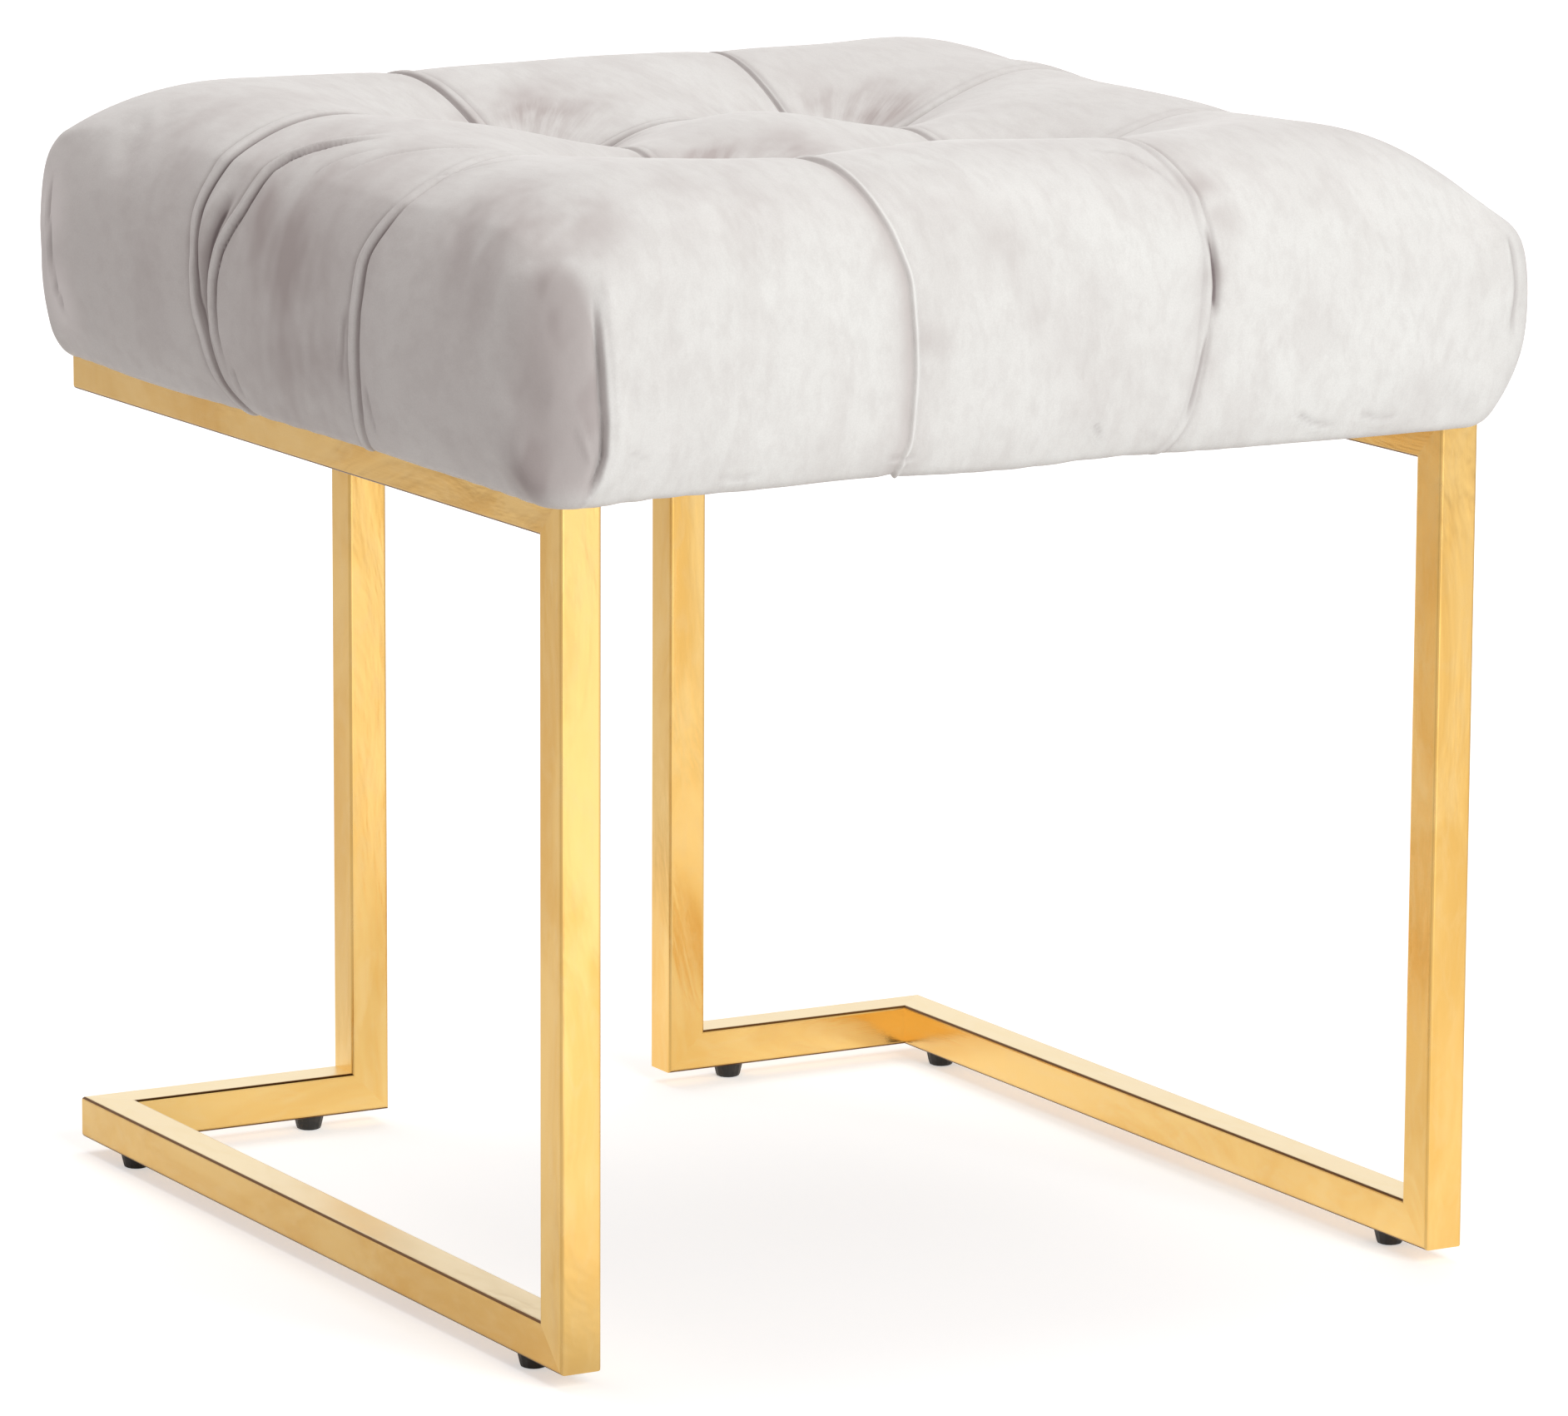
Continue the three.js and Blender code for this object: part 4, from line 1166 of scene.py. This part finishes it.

# %% [markdown]
# At the near left corner the cloth turns away from the light just beyond the long crease, and it
# gets painted shade there. The path of that crease, as an x for each height, parts the bright
# front from the painted shade of the corner.

# %% The shaded corner
crease_x = np.interp(skin[:, 2], (362, 374, 391, 405, 425, 446, 457, 470, 485),
                     (-219, -217, -211.5, -211, -212.5, -214.5, -215.5, -219, -228))
soft = np.interp(skin[:, 2], (440, 478), (0.6, 10))
turned = smooth_step(-skin[:, 1], 204, 236) * smooth_step(crease_x - skin[:, 0], -soft, soft)
turned *= plateau(skin[:, 2], 364, 380, 456, 490)
# Painted shade on the corner, in the pile and in the folds.
nap_shade_and_highlight = np.maximum(nap_shade_and_highlight, turned * np.clip(broken, 0.8, 1.15))
fold_shade = np.maximum(fold_shade, 0.45 * turned * np.clip(broken, 0.75, 1.15))
# Painted shade in the folds of the left wall, in step with the pile's painted shade.
at_left_wall = smooth_step(-skin[:, 0], 215, 236)
fold_shade = np.maximum(fold_shade, 0.16 * np.clip(nap_shade_and_highlight, 0, 1) * at_left_wall)
# Painted highlight takes the place of painted shade where both are set.
nap_shade_and_highlight = nap_shade_and_highlight * (1 - shine) - 0.9 * shine
tell("darkest patch:", nap_shade_and_highlight.max())

# %% [markdown]
# ## The finished cushion
# The hole over the board, which was left open while the mesh was subdivided, is closed by a fan
# of faces, so the cushion is one closed skin. It stands for two parts: the cover and the foam in
# it.

# %% The cushion as a piece
def dress(mesh, finish):
    mesh.materials.clear()
    mesh.materials.append(finish.material)
    mesh.polygons.foreach_set("use_smooth", np.ones(len(mesh.polygons), bool))


fine.vertices.foreach_set("co", (skin * MM).astype(np.float32).ravel())
# Both attributes are painted light: painted shade in the folds, and painted shade and highlight on
# the pile.
store_floats(fine, {"fold_shade": np.clip(fold_shade, -1, 1), "nap": np.clip(nap_shade_and_highlight, -1, 1)})
closed = bmesh.new()
closed.from_mesh(fine)
rim = [edge for edge in closed.edges if edge.is_boundary]
bmesh.ops.poke(closed, faces=bmesh.ops.holes_fill(closed, edges=rim)["faces"])
tell("rim edges:", len(rim), "open edges left:", sum(edge.is_boundary for edge in closed.edges),
     "volume:", closed.calc_volume() * 1000, "litres")
closed.to_mesh(fine)
closed.free()
fine.name = "tufted_cushion"
cushion = add_object("tufted_cushion", fine)
dress(fine, velvet)
fine.update()
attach(cushion, "root")
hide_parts("velvet_cover", "foam_pad")
print("cushion:", len(fine.polygons), "faces")

# %% [markdown]
# ## Covered buttons
# Each pit holds a round button covered in the same velvet. The cloth is smooth on the dome and
# gathered where it is drawn in under the rim, so the outline there gets a fine wave. One button
# is written as a profile turned about its axis, and each of the four is turned a little
# differently.

# %% One button
WAIST = 1.8
GATHERS = 19
AROUND = 56


def button_points(radius, height, turn):
    angles = np.linspace(0, 2 * math.pi, AROUND, endpoint=False)
    profile = [(radius * math.sin(t), WAIST + (height - WAIST) * math.cos(t))
               for t in np.linspace(0.12, math.pi / 2, 11)]
    profile += [(radius * share, level) for share, level in (
        (0.985, 1.3), (0.93, 0.7), (0.84, 0.25), (0.6, 0.05))]
    rings = []
    for reach, level in profile:
        gather = 0.28 * smooth_step(3.4 - level, 0, 2.6) * np.cos(GATHERS * angles + turn)
        dome = 0.12 * np.sin(3 * angles + 2 * turn) * reach / radius * (level > WAIST)
        rings.append(np.column_stack([(reach + gather) * np.cos(angles),
                                      (reach + gather) * np.sin(angles), level + dome]))
    points = np.vstack(rings + [[[0, 0, height]], [[0, 0, 0]]])
    top_pole, low_pole = len(points) - 2, len(points) - 1
    last = (len(profile) - 1) * AROUND
    faces = []
    for k in range(AROUND):
        n = (k + 1) % AROUND
        faces.append((top_pole, k, n))
        faces += [(a + k, a + AROUND + k, a + AROUND + n, a + n) for a in range(0, last, AROUND)]
        faces.append((low_pole, last + n, last + k))
    # How deep each ring lies under the rim, used for painted shade.
    depths = np.repeat([3.2 - level for _, level in profile], AROUND)
    return points, faces, smooth_step(np.append(depths, [0, 3.0]), 0, 3)


# %% Four buttons
for number, tuft in enumerate(("front_left", "front_right", "rear_left", "rear_right")):
    low, high = box_mm(f"{tuft}_button")
    middle = (low + high) / 2
    points, faces, rim = button_points((high[0] - low[0]) / 2, high[2] - low[2], 1.7 * number)
    button = mesh_object(f"{tuft}_button_velvet", points + [middle[0], middle[1], low[2]], faces)
    # Painted shade: darker towards the rim where the cloth is drawn under, and a little all over.
    store_floats(button.data, {"fold_shade": 0.7 * rim, "nap": np.full(len(rim), 0.3)})
    dress(button.data, velvet)
    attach(button, "root")
    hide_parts(f"{tuft}_button")
print("buttons:", number + 1, "of", len(faces), "faces")

# %% [markdown]
# ## The dust cloth
# A thin black cloth closes the underside between the rails, so that nobody sees the board or the
# hem. It is cut to size, pulled flat and stapled all round. Between two staples its edge is a
# little slack and curves in, and short folds run inwards from each staple. The sheet has two
# faces half a millimetre apart, joined round the edge.

# %% The slack in the cloth
CLOTH_GAUGE = 0.5
STAPLE_SPACING = 38.0
STAPLE_INSET = 9.0
cloth_low, cloth_high = box_mm("dust_cover")
cloth_middle = (cloth_low + cloth_high) / 2
cloth_half = (cloth_high - cloth_low)[:2] / 2
cloth_face = cloth_high[2] - 0.15 - 0.5
across, along = np.meshgrid(np.linspace(-1, 1, 121), np.linspace(-1, 1, 129))
from_side = (1 - np.abs(across)) * cloth_half[0]
from_end = (1 - np.abs(along)) * cloth_half[1]
from_edge = np.minimum(from_side, from_end)
along_edge = np.where(from_side < from_end, along * cloth_half[1], across * cloth_half[0])
wave = np.cos(2 * math.pi * along_edge / STAPLE_SPACING)
slack = 1.1 * (0.5 - 0.5 * wave) * np.exp(-from_edge / 7)
x = across * cloth_half[0] - np.sign(across) * slack * (from_side < from_end)
y = along * cloth_half[1] - np.sign(along) * slack * (from_side >= from_end)
corner_calm = smooth_step(np.abs(from_side - from_end), 0, 25)
folds = 0.45 * wave * np.exp(-from_edge / 26) * corner_calm * smooth_step(from_edge, 2, 14)
height = cloth_face + folds - 1.1 * smooth_step(from_edge, 5, 110)
tell("the cloth sags by up to", cloth_face - height.min(), "mm")

# %% Dust cloth
sheet_top = np.dstack([x + cloth_middle[0], y + cloth_middle[1], height + CLOTH_GAUGE / 2])
sheet_top = sheet_top.reshape(-1, 3)
rows, columns = across.shape
below = rows * columns
faces = []
for a, b, c, d in grid_faces(columns, rows):
    faces += [(a, b, c, d), (a + below, d + below, c + below, b + below)]
edge = [j * columns + i for i, j in border_of(columns, rows)]
faces += [(b, a, a + below, b + below) for a, b in zip(edge, edge[1:] + edge[:1])]
sheet_points = np.vstack([sheet_top, sheet_top - [0, 0, CLOTH_GAUGE]])
dust_cloth = mesh_object("dust_cloth_sheet", sheet_points, faces)
dress(dust_cloth.data, cloth)
tell("dust cloth:", *(2 * cloth_half), "mm,", len(faces), "faces")

# %% [markdown]
# ## Staples along a path
# Staples repeat along a line, which is what geometry nodes do well. The tree takes a path, walks
# along it in even steps, sets one staple at each step in the direction of the path and turns it
# by a small chance, because a hand-held stapler is never quite straight.

# %% The staple
CROWN_WIDTH, LEG, WIRE_WIDTH, WIRE_HEIGHT, WIRE_BEND = 10.0, 3.2, 1.1, 0.55, 0.5


def staple_mesh():
    half = CROWN_WIDTH / 2
    corners = [(-half, LEG), (-half, WIRE_BEND), (WIRE_BEND - half, 0), (half - WIRE_BEND, 0),
               (half, WIRE_BEND), (half, LEG)]
    end = 4 * (len(corners) - 1)
    points, faces = [], [(0, 1, 3, 2), (end, end + 2, end + 3, end + 1)]
    for k, (x, z) in enumerate(corners):
        before, after = corners[max(k - 1, 0)], corners[min(k + 1, len(corners) - 1)]
        way = np.array([after[0] - before[0], after[1] - before[1]], float)
        way /= np.linalg.norm(way)
        for side in (-WIRE_WIDTH / 2, WIRE_WIDTH / 2):
            points += [(x, side, z), (x - way[1] * WIRE_HEIGHT, side, z + way[0] * WIRE_HEIGHT)]
    for a in range(0, end, 4):
        b = a + 4
        faces += [(a, a + 2, b + 2, b), (a + 1, b + 1, b + 3, a + 3), (a, b, b + 1, a + 1),
                  (a + 2, a + 3, b + 3, b + 2)]
    staple = mesh_object("one_staple", np.array(points), faces)
    shape = bmesh.new()
    shape.from_mesh(staple.data)
    bmesh.ops.recalc_face_normals(shape, faces=shape.faces)
    shape.to_mesh(staple.data)
    shape.free()
    return staple


staple = staple_mesh()
STAPLE_FACES = len(staple.data.polygons)
print("one staple:", STAPLE_FACES, "faces")

# %% The tree that walks along a path
walk = Nodes(bpy.data.node_groups.new("staples_along_a_path", "GeometryNodeTree"))
staple_inputs = {
    label: walk.tree.interface.new_socket(label, in_out="INPUT", socket_type=kind).identifier
    for label, kind in (("Path", "NodeSocketGeometry"), ("Staple", "NodeSocketObject"),
                        ("Spacing", "NodeSocketFloat"), ("Unevenness", "NodeSocketFloat"),
                        ("Finish", "NodeSocketMaterial"))}
walk.tree.interface.new_socket("Staples", in_out="OUTPUT", socket_type="NodeSocketGeometry")
start = walk.add("NodeGroupInput").outputs
path = walk.add("GeometryNodeMeshToCurve", {"Mesh": start["Path"]})
steps = walk.add("GeometryNodeResampleCurve", {
    "Curve": path.outputs[0], "Length": start["Spacing"]}, mode="LENGTH")
tangent = walk.add("GeometryNodeInputTangent")
aimed = walk.add("FunctionNodeAlignRotationToVector", {"Vector": tangent.outputs[0]}, axis="X")
drawn = walk.add("FunctionNodeRandomValue", {2: -1.0, 3: 1.0, "Seed": 5}, data_type="FLOAT")
angle = walk.times(drawn.outputs[1], start["Unevenness"])
twist = walk.add("FunctionNodeAxisAngleToRotation", {"Axis": (0, 0, 1), "Angle": angle})
turned = walk.add("FunctionNodeRotateRotation", {0: aimed.outputs[0], 1: twist.outputs[0]})
shown = walk.add("GeometryNodeObjectInfo", {"Object": start["Staple"]})
placed = walk.add("GeometryNodeInstanceOnPoints", {
    "Points": steps.outputs[0], "Instance": shown.outputs["Geometry"],
    "Rotation": turned.outputs[0]})
real = walk.add("GeometryNodeRealizeInstances", {"Geometry": placed.outputs[0]})
painted = walk.add("GeometryNodeSetMaterial", {
    "Geometry": real.outputs[0], "Material": start["Finish"]})
walk.add("NodeGroupOutput", {0: painted.outputs[0]})
print("nodes in the staple tree:", len(walk.tree.nodes))

# %% Staples round the dust cloth
reach_x, reach_y = cloth_half - STAPLE_INSET
staple_level = cloth_face - CLOTH_GAUGE / 2 - 0.5
loop = [(cloth_middle[0] + sx * reach_x, cloth_middle[1] + sy * reach_y, staple_level)
        for sx, sy in ((-1, -1), (1, -1), (1, 1), (-1, 1))]
path_mesh = bpy.data.meshes.new("staple_path")
path_mesh.from_pydata((np.array(loop) * MM).tolist(), [(0, 1), (1, 2), (2, 3), (3, 0)], [])
path_object = add_object("staple_path", path_mesh)
walker = path_object.modifiers.new("staples", "NODES")
walker.node_group = walk.tree
for label, value in {"Staple": staple, "Spacing": STAPLE_SPACING * MM, "Unevenness": 0.16,
                     "Finish": wire.material}.items():
    walker[staple_inputs[label]] = value
path_object.update_tag()
depsgraph = bpy.context.evaluated_depsgraph_get()
staples_mesh = bpy.data.meshes.new_from_object(path_object.evaluated_get(depsgraph))
staples_mesh.name = "dust_cloth_staples"
for helper in (path_object, staple):
    bpy.data.objects.remove(helper)
staples = add_object("dust_cloth_staples", staples_mesh)
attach(staples, "root")
print("staples:", len(staples_mesh.polygons) // STAPLE_FACES)

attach(dust_cloth, "root")
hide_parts("dust_cover")
